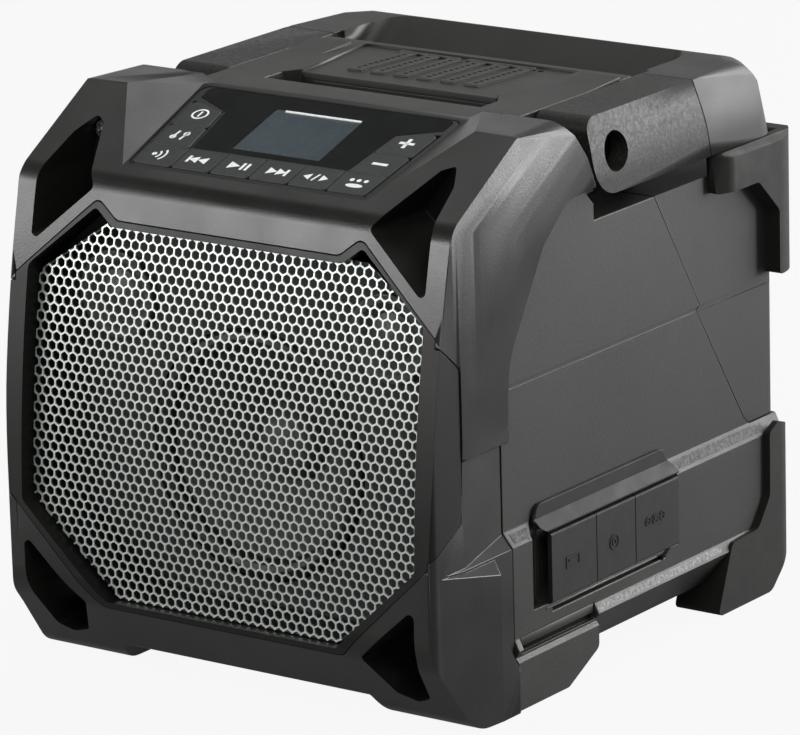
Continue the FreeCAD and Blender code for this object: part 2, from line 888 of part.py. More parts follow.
def grille():
    """Perforated steel pan with hexagonal holes and an edge turned back to the baffle."""
    pan = prism_xz(grille_outline(), front_y, baffle_y).common(grille_surface(grille_recess))
    hollow = prism_xz(grille_outline(grille_thickness), front_y, baffle_y + 1.0)
    hollow = hollow.common(grille_surface(grille_recess + grille_thickness))
    pan = pan.cut(hollow)
    field = Part.Face(outline(grille_outline(hole_margin + hole_across_flats / 2),
                              lambda p: Vector(p.x, 0, p.y)))
    row_pitch = hole_pitch * math.sqrt(3) / 2
    middle_z = (opening_top_z + opening_bottom_z) / 2
    rows = int((opening_top_z - opening_bottom_z) / row_pitch / 2) + 1
    columns = int(opening_half_width / hole_pitch) + 1
    holes = []
    for row in range(-rows, rows + 1):
        z = middle_z + row * row_pitch
        shift = hole_pitch / 2 if row % 2 else 0.0
        for column in range(-columns, columns + 1):
            x = column * hole_pitch + shift
            if field.isInside(Vector(x, 0, z), 0.01, True):
                holes.append(hexagon(x, z, hole_across_flats, front_y, baffle_y - 3.0))
    return single(pan.cut(Part.Compound(holes)))


def speaker_baffle():
    """Plate behind the grille that carries the woofer and both tweeters."""
    edge = collar_thickness - 0.5
    back_y = baffle_y + baffle_thickness
    plate = prism_xz(opening_outline(edge), baffle_y, back_y)
    plate = plate.cut(rod_y(0, baffle_y - 1, back_y + 1, woofer_z, woofer_radius - 4.0))
    for x in (-tweeter_x, tweeter_x):
        plate = plate.cut(rod_y(x, baffle_y - 1, back_y + 1, tweeter_z, tweeter_radius - 2.5))
    return single(plate)


def revolved(points, x, z):
    """Solid turned about an axis along Y from (radius, y) corners."""
    wire = outline(points, lambda p: Vector(x + p.x, p.y, z))
    return Part.Face(wire).revolve(Vector(x, 0, z), Vector(0, 1, 0), 360)


def woofer_basket():
    """Pressed frame of the woofer, open at the front, behind the baffle."""
    flange_y = baffle_y + baffle_thickness
    back_y = flange_y + woofer_depth - 12.0
    shell = revolved([
        (woofer_radius - 3.0, flange_y),
        (woofer_radius + woofer_flange, flange_y),
        (woofer_radius + woofer_flange, flange_y + 2.0),
        (woofer_radius - 2.0, flange_y + 2.0),
        (30.0, back_y),
        (basket_neck_radius, back_y),
        (basket_neck_radius, back_y - 2.0),
        (28.5, back_y - 2.0),
        (woofer_radius - 4.0, flange_y + 0.5),
    ], 0, woofer_z)
    windows = []
    for step in range(6):
        window = block(-7.0, 7.0, flange_y + 7.0, back_y - 5.0, woofer_z + 20.0, woofer_z + 60.0)
        windows.append(window.rotate(Vector(0, 0, woofer_z), Vector(0, 1, 0), 60 * step))
    return single(shell.cut(Part.Compound(windows)))


def woofer_magnet():
    """Ferrite ring and back plate behind the basket."""
    start_y = baffle_y + baffle_thickness + woofer_depth - 12.0
    return revolved([
        (coil_passage_radius, start_y),
        (magnet_radius, start_y, 1.0),
        (magnet_radius, start_y + magnet_length, 1.0),
        (0.0, start_y + magnet_length),
        (0.0, start_y + 4.0),
        (coil_passage_radius, start_y + 4.0),
    ], 0, woofer_z)


def woofer_cone():
    """Paper cone with its dust cap and voice coil former."""
    rim_y = baffle_y + 2.0
    neck_y = rim_y + 22.0
    return revolved([
        (0.0, neck_y - 10.0),
        (10.0, neck_y - 8.0, 6.0),
        (15.0, neck_y - 2.0),
        (woofer_radius - 12.0, rim_y + 1.0),
        (woofer_radius - 12.0, rim_y + 2.2),
        (coil_radius, neck_y + 1.5),
        (coil_radius, neck_y + 8.0),
        (coil_radius - 0.8, neck_y + 8.0),
        (coil_radius - 0.8, neck_y - 1.5),
        (9.0, neck_y - 6.6, 5.0),
        (0.0, neck_y - 8.8),
    ], 0, woofer_z)


def woofer_surround():
    """Half-roll rubber ring between the cone and the baffle."""
    rim_y = baffle_y + 2.0
    inner = woofer_radius - 11.8
    outer = woofer_radius - 4.2
    middle = (inner + outer) / 2
    return revolved([
        (inner, rim_y + 0.6),
        (inner + 0.8, rim_y - 2.6, 1.6),
        (middle, rim_y - 3.6, 1.6),
        (outer - 0.8, rim_y - 2.6, 1.6),
        (outer, rim_y + 0.6),
        (outer, rim_y + 1.8),
        (outer - 1.6, rim_y + 1.8),
        (outer - 1.6, rim_y - 1.2, 0.8),
        (middle, rim_y - 2.2, 1.6),
        (inner + 1.6, rim_y - 1.2, 0.8),
        (inner + 1.6, rim_y + 1.8),
        (inner, rim_y + 1.8),
    ], 0, woofer_z)


def tweeter(x):
    """Dome tweeter: face ring, dome and motor, set in the baffle from the front."""
    front = baffle_y
    return revolved([
        (0.0, front - 1.5),
        (7.0, front - 0.2, 5.0),
        (9.0, front + 0.6),
        (13.0, front - 2.5),
        (tweeter_radius + 1.5, front - 2.5, 0.8),
        (tweeter_radius + 1.5, front),
        (tweeter_radius - 3.0, front),
        (tweeter_radius - 3.0, front + 16.0),
        (0.0, front + 16.0),
    ], x, tweeter_z)


# Case shells

def body_section():
    """Front view of the case body: upper sides, shelf above the skirt, ledge and belly."""
    return symmetric([
        (belly_half_width, belly_z),
        (ledge_half_width, ledge_z),
        (skirt_half_width, ledge_top_z),
        (skirt_half_width, skirt_top_z),
        (body_half_width, skirt_slope_z),
        (body_half_width, shoulder_tip_z + 5.0),
    ])


def seam_points(gap=0.0):
    """Side view of the Z-shaped seam between the two housings, from the top down."""
    return [
        (seam_top_y + gap, deck_floor_z),
        (seam_step_y + gap, seam_step_z),
        (seam_step_y - seam_step_back + gap, seam_step_z - seam_step_drop),
        (seam_low_y + gap, seam_low_z + gap),
        (seam_end_y + gap, seam_end_z + gap),
        (body_rear_y, seam_end_z + gap),
    ]


def inner_volume():
    """Hollow shared by the two housings."""
    side = [
        (bezel_back_y - 10.0, belly_z + wall),
        (body_rear_y - wall, belly_z + wall),
        (body_rear_y - wall, deck_floor_z - wall),
        (pivot_y - 16.0, deck_floor_z - wall),
        (shoulder_top_y - 2.0, shoulder_top_z - wall - 2.0),
        (shoulder_mid_y - 2.0, shoulder_mid_z - wall),
        (bezel_back_y - 10.0, shoulder_foot_z - wall),
    ]
    return prism_yz(side, -body_half_width + wall, body_half_width - wall)


def side_groove():
    """Shallow horizontal groove along both sides of the case."""
    top = groove_z + groove_height / 2
    cut = block(body_half_width - groove_depth, body_half_width + 5.0, -68.5, rear_y,
                top - groove_height, top)
    return cut.fuse(mirrored(cut))


def case_blank(side, y_from, half_width, radius):
    """Solid case body cut to a side view, with rounded rear corners."""
    blank = prism_yz(side, -clear_x, clear_x).common(prism_xz(body_section(), y_from, rear_y))
    plan = symmetric([
        (half_width, y_from),
        (half_width, body_rear_y, radius),
    ])
    return blank.common(prism_xy(plan, 0.0, ridge_top_z))


def case_foot():
    """Hollow foot block under the right front corner, with a chamfer along its top edge."""
    side = [
        (bezel_back_y + 0.2, case_lift),
        (foot_rear_y, case_lift, 3.0),
        (foot_end_y, belly_z, 3.0),
        (foot_end_y, foot_top_z),
        (bezel_back_y + 0.2, foot_top_z),
    ]
    block_shape = prism_yz(side, foot_inner_half, foot_half_width)
    section = [
        (foot_inner_half, -1.0),
        (foot_half_width, -1.0),
        (foot_half_width, foot_top_z - foot_chamfer),
        (foot_half_width - foot_chamfer, foot_top_z),
        (foot_inner_half, foot_top_z),
    ]
    return block_shape.common(prism_xz(section, bezel_back_y, foot_end_y))


def front_housing():
    """Front half of the case with the skirt, the belly tray and the port bay."""
    side = [
        (bezel_back_y + 0.2, belly_z),
        (body_rear_y, belly_z, 4.0),
        (body_rear_y, seam_end_z),
    ]
    side += list(reversed(seam_points()))[1:]
    side += [(shoulder_tip_y + 14.0, deck_floor_z)]
    side += shoulder_points(0.2)
    body = case_blank(side, bezel_back_y, ledge_half_width, body_corner_radius + 4.0)
    foot = case_foot()
    body = body.cut(inner_volume()).fuse(foot).fuse(mirrored(foot))
    groove = block(foot_half_width - foot_chamfer - 0.5, clear_x, foot_groove_front_y,
                   foot_groove_rear_y, foot_top_z, foot_top_z + foot_groove_height)
    body = body.cut(groove).cut(mirrored(groove))
    recess = recess_tool()
    body = body.cut(recess).cut(mirrored(recess)).cut(side_groove())
    deck_edge = deck_half_width + deck_gap
    deck_space = block(-deck_edge, deck_edge, facet_top_y, 20.0, deck_floor_z, ridge_top_z)
    body = body.cut(deck_space).cut(port_bay()).cut(door_opening())
    for foot_pad in front_feet(pad_foot_gap).Solids:
        body = body.cut(foot_pad)
    for knuckle in hinge_knuckles():
        body = body.fuse(knuckle)
    body = body.cut(rod_x(-door_half_width, door_half_width, door_hinge_y, door_hinge_z,
                          hinge_pin_radius + hinge_pin_clearance))
    return single(body)


def rear_housing():
    """Rear half of the case above the skirt, with the latch catch."""
    side = [(body_rear_y, deck_floor_z, 4.0)]
    side += seam_points(0.2)
    body = case_blank(side, 0.0, body_half_width, body_corner_radius)
    body = body.cut(inner_volume()).cut(side_groove()).cut(door_opening())
    catch = block(-latch_half_width - 0.5, latch_half_width + 0.5, body_rear_y - 1.7,
                  body_rear_y + 1.0, latch_top_z - 5.0, latch_top_z + 0.9)
    return single(body.cut(catch))


def door_opening():
    """Hole in the rear wall for the battery door."""
    edge = door_half_width + door_gap
    return prism_xz([
        (-edge, door_bottom_z - door_gap, 4.0),
        (edge, door_bottom_z - door_gap, 4.0),
        (edge, door_top_z + door_gap, 4.0),
        (-edge, door_top_z + door_gap, 4.0),
    ], body_rear_y - wall - 1.0, rear_y)


def hinge_knuckles():
    """Pair of bored ears below the door opening."""
    ears = []
    for x in (-knuckle_outer_half, knuckle_outer_half - knuckle_width):
        ear = rod_x(x, x + knuckle_width, door_hinge_y, door_hinge_z, hinge_barrel_radius)
        root = block(x, x + knuckle_width, body_rear_y - 1.0, door_hinge_y,
                     door_hinge_z - hinge_barrel_radius, door_hinge_z)
        ears.append(ear.fuse(root))
    return ears


def front_feet(grow=0.0):
    """Two round rubber feet let into the underside at the front."""
    pad = rod_z(pad_foot_x, pad_foot_y, -grow, pad_foot_height + grow, pad_foot_radius + grow)
    return both_sides(pad)


# Ports in the right side

def port_bay():
    """Recess behind the flaps with a finger gap, and holes for the three sockets."""
    floor_x = skirt_half_width - port_floor_depth
    bay = block(floor_x, clear_x, port_front_y - flap_gap, port_rear_y + flap_gap,
                port_bottom_z - flap_gap, skirt_top_z + 0.6)
    finger = prism_yz([
        (finger_gap_y, 35.0),
        (port_front_y, 35.0),
        (port_front_y, 68.0),
        (port_front_y - 5.0, 68.0, 3.0),
        (finger_gap_y, 62.0, 3.0),
    ], floor_x - 1.0, clear_x)
    lip = block(floor_x + 2.5, clear_x, port_front_y + 2.0, port_rear_y - 8.0,
                port_bottom_z - 3.4, port_bottom_z - 1.9)
    bay = bay.fuse(finger).fuse(lip)
    for tool in socket_shapes(socket_gap):
        bay = bay.fuse(tool)
    return bay


def socket_shapes(grow=0.0):
    """USB, round audio and power sockets, from the port board out to the bay floor."""
    floor_x = skirt_half_width - port_floor_depth
    start_x = floor_x - socket_depth
    end_x = floor_x - 0.1
    z = (port_bottom_z + skirt_top_z) / 2
    wide = usb_half_width + grow
    high = usb_half_height + grow
    usb = block(start_x, end_x, usb_y - wide, usb_y + wide, z - high, z + high)
    aux = rod_x(start_x, end_x, aux_y, z, aux_radius + grow)
    power = rod_x(start_x, end_x, power_y, z, power_radius + grow)
    return usb, aux, power


def sockets():
    """The three sockets with their openings."""
    end_x = skirt_half_width - port_floor_depth
    z = (port_bottom_z + skirt_top_z) / 2
    wide = usb_half_width - usb_shell
    high = usb_half_height - usb_shell
    usb, aux, power = socket_shapes()
    usb = usb.cut(block(end_x - 8.0, end_x + 1, usb_y - wide, usb_y + wide, z - high, z + high))
    tongue = block(end_x - 8.5, end_x - 1.0, usb_y - wide + 1.1, usb_y + wide - 1.1, z + 0.2, z + 1.6)
    usb = usb.fuse(tongue)
    aux = aux.cut(rod_x(end_x - 7.0, end_x + 1, aux_y, z, aux_bore_radius))
    power = power.cut(rod_x(end_x - 7.0, end_x + 1, power_y, z, power_bore_radius))
    power = power.fuse(rod_x(end_x - 8.0, end_x - 1.5, power_y, z, power_pin_radius))
    return usb, aux, power


def port_board():
    """Small circuit board that carries the sockets."""
    x = skirt_half_width - port_floor_depth - socket_depth
    return block(x - board_thickness, x, port_front_y - 4.0, port_rear_y + 4.0,
                 foot_top_z + board_gap, skirt_top_z)


def port_strip():
    """Fixed upper strip of the port cover, bent over the shelf above the skirt."""
    gap = 0.1
    section = [
        (body_half_width + gap, port_strip_top_z),
        (body_half_width + gap, skirt_slope_z + 0.2),
        (skirt_half_width + 0.2, skirt_top_z + 0.9),
        (skirt_half_width + 1.3, skirt_top_z + 0.9),
        (skirt_half_width + 1.3, skirt_top_z + 1.6),
        (body_half_width + 1.6, skirt_slope_z + 0.8),
        (body_half_width + 1.6, port_strip_top_z),
    ]
    strip = prism_xz(section, port_front_y - 6.0, port_rear_y)
    front = prism_yz([
        (port_front_y, skirt_top_z),
        (port_rear_y, skirt_top_z),
        (port_rear_y, port_bend_z, 3.0),
        (port_strip_rear_y, port_strip_top_z, 4.0),
        (port_front_y - 3.5, port_strip_top_z, 4.0),
        (port_front_y - 5.5, port_bend_z + 1.0, 2.0),
    ], body_half_width - 1.0, skirt_half_width + 3.0)
    return single(strip.common(front))


def flap(y_from, y_to):
    """One rubber flap, hung from its upper edge."""
    outer_x = skirt_half_width + 1.2
    inner_x = outer_x - flap_thickness
    plate = prism_xz([
        (inner_x, port_bottom_z),
        (outer_x, port_bottom_z, 0.8),
        (outer_x, flap_hinge_z - 0.4, 0.8),
        (inner_x, flap_hinge_z - 0.4),
    ], y_from + flap_gap / 2, y_to - flap_gap / 2)
    return plate


# Battery door and bay

def battery_door():
    """Door in the rear wall with hinge barrels and ears for the latch."""
    inner_y = body_rear_y - wall + 0.1
    outer_y = inner_y + door_thickness
    edge = door_half_width
    plate = prism_xz([
        (-edge, door_bottom_z + 2.0, 3.5),
        (edge, door_bottom_z + 2.0, 3.5),
        (edge, door_top_z, 3.5),
        (-edge, door_top_z, 3.5),
    ], inner_y, outer_y)
    barrel_half = knuckle_outer_half - knuckle_width - knuckle_gap
    barrel = rod_x(-barrel_half, barrel_half, door_hinge_y, door_hinge_z, hinge_barrel_radius)
    web = block(-barrel_half, barrel_half, body_rear_y + 0.4, outer_y, door_hinge_z, door_bottom_z + 3.0)
    door = plate.fuse(barrel).fuse(web)
    pivot = latch_pivot_y()
    inner_x = latch_half_width + latch_gap
    for x in (-inner_x - latch_ear_width, inner_x):
        ear = rod_x(x, x + latch_ear_width, pivot, latch_pivot_z, latch_ear_radius)
        root = block(x, x + latch_ear_width, outer_y - 1.0, pivot, latch_pivot_z - latch_ear_radius,
                     latch_pivot_z + latch_ear_radius)
        door = door.fuse(ear).fuse(root)
    for row in range(door_rib_count):
        z = door_rib_low_z + door_rib_pitch * row
        door = door.fuse(block(-door_rib_half, door_rib_half, outer_y - 0.5, outer_y + door_rib_rise,
                               z, z + door_rib_height))
    door = door.cut(rod_x(-door_half_width, door_half_width, door_hinge_y, door_hinge_z,
                          hinge_pin_radius + hinge_pin_clearance))
    bore = inner_x + latch_ear_width + 1.0
    door = door.cut(rod_x(-bore, bore, pivot, latch_pivot_z, latch_pin_radius + hinge_pin_clearance))
    return single(door)


def latch_pivot_y():
    """Y of the latch pivot, in front of the door's outer face."""
    return body_rear_y - wall + 0.1 + door_thickness + 2.9


def door_latch():
    """Pull latch on the door with a hook that enters the rear wall."""
    pivot = latch_pivot_y()
    lever = prism_yz([
        (pivot - 1.8, latch_pivot_z),
        (pivot + 2.2, latch_pivot_z),
        (pivot + 2.2, latch_top_z - 0.6, 1.5),
        (body_rear_y - 1.4, latch_top_z - 0.6),
        (body_rear_y - 1.4, latch_top_z - 4.0),
        (pivot - 1.8, latch_top_z - 4.0),
    ], -latch_half_width, latch_half_width)
    lever = lever.fuse(rod_x(-latch_half_width, latch_half_width, pivot, latch_pivot_z,
                             latch_barrel_radius))
    pin_half = latch_half_width + latch_ear_width
    lever = lever.fuse(rod_x(-pin_half, pin_half, pivot, latch_pivot_z, latch_pin_radius))
    return single(lever)


def door_hinge_pin():
    """Steel pin through the door barrel and the ears."""
    return rod_x(-knuckle_outer_half, knuckle_outer_half, door_hinge_y, door_hinge_z, hinge_pin_radius)


def bay_mouth_y():
    """Y of the battery bay's flange, just inside the rear wall."""
    return body_rear_y - wall - bay_gap


def battery_bay():
    """Open-backed liner with a flange that sits behind the rear wall."""
    mouth_y = bay_mouth_y()
    edge = bay_half_width + bay_flange
    flange = block(-edge, edge, mouth_y - bay_wall, mouth_y,
                   bay_bottom_z - bay_flange, bay_top_z + bay_flange)
    shell = block(-bay_half_width - bay_wall, bay_half_width + bay_wall, mouth_y - bay_depth, mouth_y,
                  bay_bottom_z - bay_wall, bay_top_z + bay_wall)
    hollow = block(-bay_half_width, bay_half_width, mouth_y - bay_depth + bay_wall, mouth_y + 1.0,
                   bay_bottom_z, bay_top_z)
    return single(flange.fuse(shell).cut(hollow))


def battery_terminals():
    """Slide terminal block on the bay's inner wall."""
    back_y = bay_mouth_y() - bay_depth + bay_wall
    top_z = bay_top_z - 10.0
    bottom_z = top_z - terminal_height
    half = terminal_half_width
    rail = block(-half, half, back_y, back_y + terminal_depth, bottom_z, top_z)
    for x in terminal_slot_places:
        rail = rail.cut(block(x - terminal_slot / 2, x + terminal_slot / 2, back_y + 4.0,
                              back_y + terminal_depth + 1.0, bottom_z - 1.0, top_z - 12.0))
    for x in (-half, half - terminal_rail):
        rail = rail.cut(block(x, x + terminal_rail, back_y + 3.0, back_y + 7.5, bottom_z - 1.0, top_z - 6.0))
    return single(rail)


def main_board_y():
    """Y of the main board's front face, with its back close to the battery bay."""
    return bay_mouth_y() - bay_depth - board_gap - board_thickness


def main_board():
    """Amplifier and charger board standing between the loudspeaker and the battery bay."""
    y = main_board_y()
    return block(-main_board_half_width, main_board_half_width, y, y + board_thickness,
                 belly_z + wall + board_gap, main_board_top_z)


def heat_sink():
    """Finned aluminium block on the main board."""
    y = main_board_y()
    top_z = sink_bottom_z + sink_height
    sink = block(-sink_half_width, sink_half_width, y - sink_depth, y, sink_bottom_z, top_z)
    gaps = int(2 * sink_half_width / sink_fin_pitch) - 1
    first = -(gaps * sink_fin_pitch - (sink_fin_pitch - sink_fin_gap)) / 2
    spaces = []
    for index in range(gaps):
        x = first + index * sink_fin_pitch
        spaces.append(block(x, x + sink_fin_gap, y - sink_depth - 1.0, y - sink_base,
                            sink_bottom_z - 1.0, top_z + 1.0))
    return single(sink.cut(Part.Compound(spaces)))


# Rear bumpers

def upper_bumper(housing):
    """Rubber corner round the rear of the case below the handle."""
    side = [
        (upper_bumper_front_y, upper_bumper_top_z),
        (upper_bumper_front_y + 1.5, upper_bumper_low_z, 1.5),
        (upper_bumper_inner_y - 14.0, upper_bumper_low_z, 3.0),
        (upper_bumper_inner_y, upper_bumper_low_z - 13.5, 3.0),
        (upper_bumper_inner_y, upper_bumper_rear_low_z, 1.5),
        (rear_y - 6.0, upper_bumper_rear_low_z),
        (rear_y, upper_bumper_rear_low_z + 5.0),
        (rear_y, upper_bumper_top_z - 5.0),
        (rear_y - 6.0, upper_bumper_top_z),
    ]
    guard = prism_yz(side, bumper_wrap_x, bumper_half_width)
    keep = block(0, clear_x, body_rear_y, rear_y, 0, ridge_top_z)
    keep = keep.fuse(block(body_half_width - 6.0, clear_x, 0, rear_y, 0, ridge_top_z))
    plan = [
        (bumper_wrap_x, 0.0),
        (bumper_half_width - 4.0, 0.0),
        (bumper_half_width - 4.0, upper_bumper_front_y),
        (bumper_half_width, upper_bumper_front_y + 8.0),
        (bumper_half_width, rear_y, upper_bumper_plan_radius),
        (bumper_wrap_x, rear_y, 4.0),
    ]
    section = [
        (bumper_wrap_x, 100.0),
        (bumper_half_width, 100.0),
        (bumper_half_width, upper_bumper_top_z - bumper_chamfer),
        (bumper_half_width - bumper_chamfer, upper_bumper_top_z),
        (bumper_wrap_x, upper_bumper_top_z),
    ]
    guard = guard.common(keep).common(prism_xy(plan, 100.0, 200.0)).common(prism_xz(section, 0.0, rear_y))
    above = block(0, body_half_width, 0, body_rear_y, deck_floor_z, ridge_top_z)
    return single(guard.cut(housing).cut(above))


def lower_bumper(front, rear):
    """Rubber corner and rear foot at the bottom of the case."""
    side = [
        (56.3, 0.0, 2.0),
        (93.5, 0.0, 6.0),
        (109.0, 14.5, 8.0),
        (lower_bumper_rear_y, 24.0, 6.0),
        (lower_bumper_rear_y, 57.0, 4.0),
        (106.6, 62.5, 3.0),
        (99.0, lower_bumper_top_z, 2.0),
        (93.0, lower_bumper_top_z - 3.0, 2.0),
        (92.8, 37.3, 8.0),
        (84.5, 26.7, 6.0),
        (66.5, 25.8, 3.0),
    ]
    guard = prism_yz(side, bumper_wrap_x, bumper_half_width)
    keep = block(0, clear_x, body_rear_y, rear_y, 0, ridge_top_z)
    keep = keep.fuse(block(skirt_half_width, clear_x, 0, rear_y, 0, ridge_top_z))
    keep = keep.fuse(block(bumper_foot_inner, clear_x, 0, rear_y, 0, belly_z + 14.0))
    plan = [
        (bumper_wrap_x, 0.0),
        (bumper_half_width, 0.0),
        (bumper_half_width, lower_bumper_rear_y, lower_bumper_plan_radius),
        (bumper_wrap_x, lower_bumper_rear_y, 4.0),
    ]
    guard = guard.common(keep).common(prism_xy(plan, -1.0, 100.0))
    return single(guard.cut(front).cut(rear))


# Top deck

def deck_hole_space():
    """Slot behind the control panel in which a phone stands."""
    points = [
        (-slot_half_width - 4.0, slot_front_y),
        (slot_half_width + 4.0, slot_front_y),
        (slot_half_width + 4.0, slot_rear_y - 6.0),
        (slot_half_width, slot_rear_y),
        (-slot_half_width, slot_rear_y),
        (-slot_half_width - 4.0, slot_rear_y - 6.0),
    ]
    return prism_xy(points, deck_z - slot_depth, deck_z + 5.0)


def lid_outline(grow=0.0):
    """Top view of the ribbed lid, wider at the rear."""
    return symmetric([
        (lid_front_half + grow, slot_rear_y - 0.01),
        (lid_rear_half + grow, lid_rear_y + grow, 2.0),
    ])


def top_cover():
    """Raised deck with its skirt, the phone slot pocket and the seat of the lid."""
    edge = deck_half_width
    seat_z = lid_top_z - lid_thickness
    ceiling_z = seat_z - lid_floor
    shell = block(-edge, edge, deck_front_y + 0.3, deck_rear_y, deck_floor_z + 0.1, deck_z)
    inside = block(-edge + wall, edge - wall, deck_front_y + 0.3 + wall, deck_rear_y - wall,
                   deck_floor_z, ceiling_z)
    pocket = block(-slot_half_width - 7.0, slot_half_width + 7.0, slot_front_y - wall,
                   slot_rear_y + wall, deck_z - slot_depth - wall, ceiling_z + 1.0)
    shell = shell.cut(inside).fuse(pocket)
    boss = rod_x(edge - pivot_boss_length, edge, pivot_y, pivot_z, pivot_boss_radius)
    shell = shell.fuse(boss).fuse(mirrored(boss))
    pad = prism_yz([
        (pad_front_y, deck_z - 0.5),
        (lid_rear_y - 4.0, deck_z - 0.5),
        (lid_rear_y - 4.0, deck_z + pad_rise),
    ], pad_inner_half, edge)
    shell = shell.fuse(pad).fuse(mirrored(pad))
    shell = shell.cut(deck_hole_space())
    shell = shell.cut(prism_xy(lid_outline(lid_gap), seat_z, deck_z + 5.0))
    shell = shell.cut(rod_x(-edge - 1, edge + 1, pivot_y, pivot_z, pivot_pin_radius))
    return single(shell)


def top_lid():
    """Lid between the arms with six ribs, each with a row of small square holes."""
    lid = prism_xy(lid_outline(), lid_top_z - lid_thickness, lid_top_z)
    first = -(rib_count - 1) / 2
    dots = []
    for index in range(rib_count):
        x = (first + index) * rib_pitch
        low = rib_middle_y - rib_length / 2
        high = rib_middle_y + rib_length / 2
        rib = prism_xy([
            (x - rib_width / 2 - rib_lean, low),
            (x + rib_width / 2 - rib_lean, low),
            (x + rib_width / 2 + rib_lean, high),
            (x - rib_width / 2 + rib_lean, high),
        ], lid_top_z - 0.5, lid_top_z + rib_rise)
        lid = lid.fuse(rib)
        for dot in range(dot_count):
            y = rib_middle_y + (dot - (dot_count - 1) / 2) * dot_pitch
            centre = x + rib_lean * 2 * (y - rib_middle_y) / rib_length
            dots.append(block(centre - dot_size / 2, centre + dot_size / 2, y - dot_size / 2,
                              y + dot_size / 2, lid_top_z - 0.6, lid_top_z + rib_rise + 1.0))
    return single(lid.cut(Part.Compound(dots)))


# Control panel

def key_outlines():
    """Outline of each key drawn flat on the panel, by name."""
    half = key_gap / 2
    outer = key_outer_half
    row = {}
    names = ["button_pairing", "button_previous", "button_play", "button_next",
             "button_channel", "button_group"]
    for index, name in enumerate(names):
        left = (index - 3) * key_pitch + half
        right = left + key_pitch - key_gap
        low_left = -outer(key_row_bottom) if index == 0 else left
        top_left = -outer(key_row_top) if index == 0 else left
        low_right = outer(key_row_bottom) if index == 5 else right
        top_right = outer(key_row_top) if index == 5 else right
        row[name] = [
            (low_left, key_row_bottom, key_corner_radius),
            (low_right, key_row_bottom, key_corner_radius),
            (top_right, key_row_top, 0.5),
            (top_left, key_row_top, 0.5),
        ]
    low = key_row_top + key_gap
    middle = low + side_key_height
    high = middle + key_gap
    side = {
        "button_minus": side_key(low, middle, middle),
        "button_plus": side_key(high, high + side_key_height - 2.0, high + side_key_height + 2.5),
    }
    mirror = {
        "button_equalizer": side_key(low, middle, middle),
        "button_power": side_key(high, high + side_key_height - 2.0, high + side_key_height + 2.5),
    }
    row.update(side)
    for name, points in mirror.items():
        row[name] = [(-p[0],) + tuple(p[1:]) for p in reversed(points)]
    return row


def key_outer_half(along):
    """Distance of the keys' outer edge from the middle, at a distance up the panel."""
    return key_outer_foot + key_outer_lean * along


def side_key(low, inner_high, outer_high):
    """Key outline in the right-hand column, between two heights up the panel."""
    inner = key_inner_foot - key_inner_lean * key_row_top
    return [
        (inner + key_inner_lean * low, low, 0.5),
        (key_outer_half(low), low, 0.5),
        (key_outer_half(outer_high), outer_high, 2.5),
        (inner + key_inner_lean * inner_high, inner_high, 1.5),
    ]


def key_field(grow):
    """The U-shaped opening that holds all ten keys, as flat solids."""
    tools = []
    for points in key_outlines().values():
        wire = outline([p[:2] for p in points], lambda p: Vector(p.x, p.y, -10.0))
        face = Part.Face(wire.makeOffset2D(grow, 2))
        tools.append(face.extrude(Vector(0, 0, 20.0)))
    field = tools[0]
    for tool in tools[1:]:
        field = field.fuse(tool)
    return field


def control_panel():
    """Plate under the window and round the keys."""
    plate = flat_plate(panel_outline(), -panel_thickness - 0.2, -0.2)
    plate = plate.cut(key_field(key_gap))
    seat = flat_plate(window_outline(0.15), -0.2 - window_thickness - 0.1, 5.0)
    display = flat_plate(display_outline(0.15), -20.0, 5.0)
    return on_panel(single(plate.cut(seat).cut(display)))


def window_outline(grow=0.0):
    """Glossy window between the side keys and above the lower row."""
    low = key_row_top + key_gap + 1.0
    inner = key_inner_foot - key_inner_lean * key_row_top
    middle = low + side_key_height * 2 - 2.0
    return symmetric([
        (inner + key_inner_lean * low - 1.2 + grow, low - grow, 0.6),
        (inner + key_inner_lean * middle - 1.2 + grow, middle - grow),
        (key_outer_half(middle + 7.0) - 1.0 + grow, middle + 7.0 - grow),
        (key_outer_half(window_top) - 1.2 + grow, window_top + grow, 2.5),
    ])


def display_outline(grow=0.0):
    """Screen area inside the window."""
    edge = display_half_width + grow
    return [
        (-edge, display_bottom - grow),
        (edge, display_bottom - grow),
        (edge, display_top + grow),
        (-edge, display_top + grow),
    ]


def display_window():
    """Glossy dark window with the screen set in it."""
    plate = flat_plate(window_outline(), -0.2 - window_thickness, -0.2)
    return on_panel(single(plate.cut(flat_plate(display_outline(0.1), -20.0, 5.0))))


def lcd_module():
    """Screen with its frame, standing on the key board behind the panel."""
    return on_panel(flat_plate(display_outline(), -board_depth(), -0.5))


def key(points):
    """One rubber key with softened upper edges."""
    solid = flat_plate(points, -key_height + key_proud, key_proud)
    top = [edge for edge in solid.Edges
           if all(abs(v.Point.z - key_proud) < 1e-6 for v in edge.Vertexes)]
    return on_panel(solid.makeFillet(0.45, top))


def board_depth():
    """Depth of the key board's face under the panel surface."""
    return panel_thickness + 0.3 + 2.75


def control_board():
    """Circuit board under the keys, held against a step in the deck."""
    depth = board_depth()
    return on_panel(flat_plate(panel_outline(-board_inset), -depth - board_thickness, -depth))


def key_switches():
    """Ten tactile switches on the key board, one under each key."""
    switches = []
    top = -key_height + key_proud - key_travel - 0.1
    for points in key_outlines().values():
        x = sum(p[0] for p in points) / len(points)
        y = sum(p[1] for p in points) / len(points)
        half = switch_size / 2
        body = block(x - half, x + half, y - half, y + half, -board_depth(), top - 0.8)
        stem = rod_z(x, y, top - 1.0, top, 1.7)
        switches.append(on_panel(body.fuse(stem)))
    return Part.Compound(switches)


# Handle

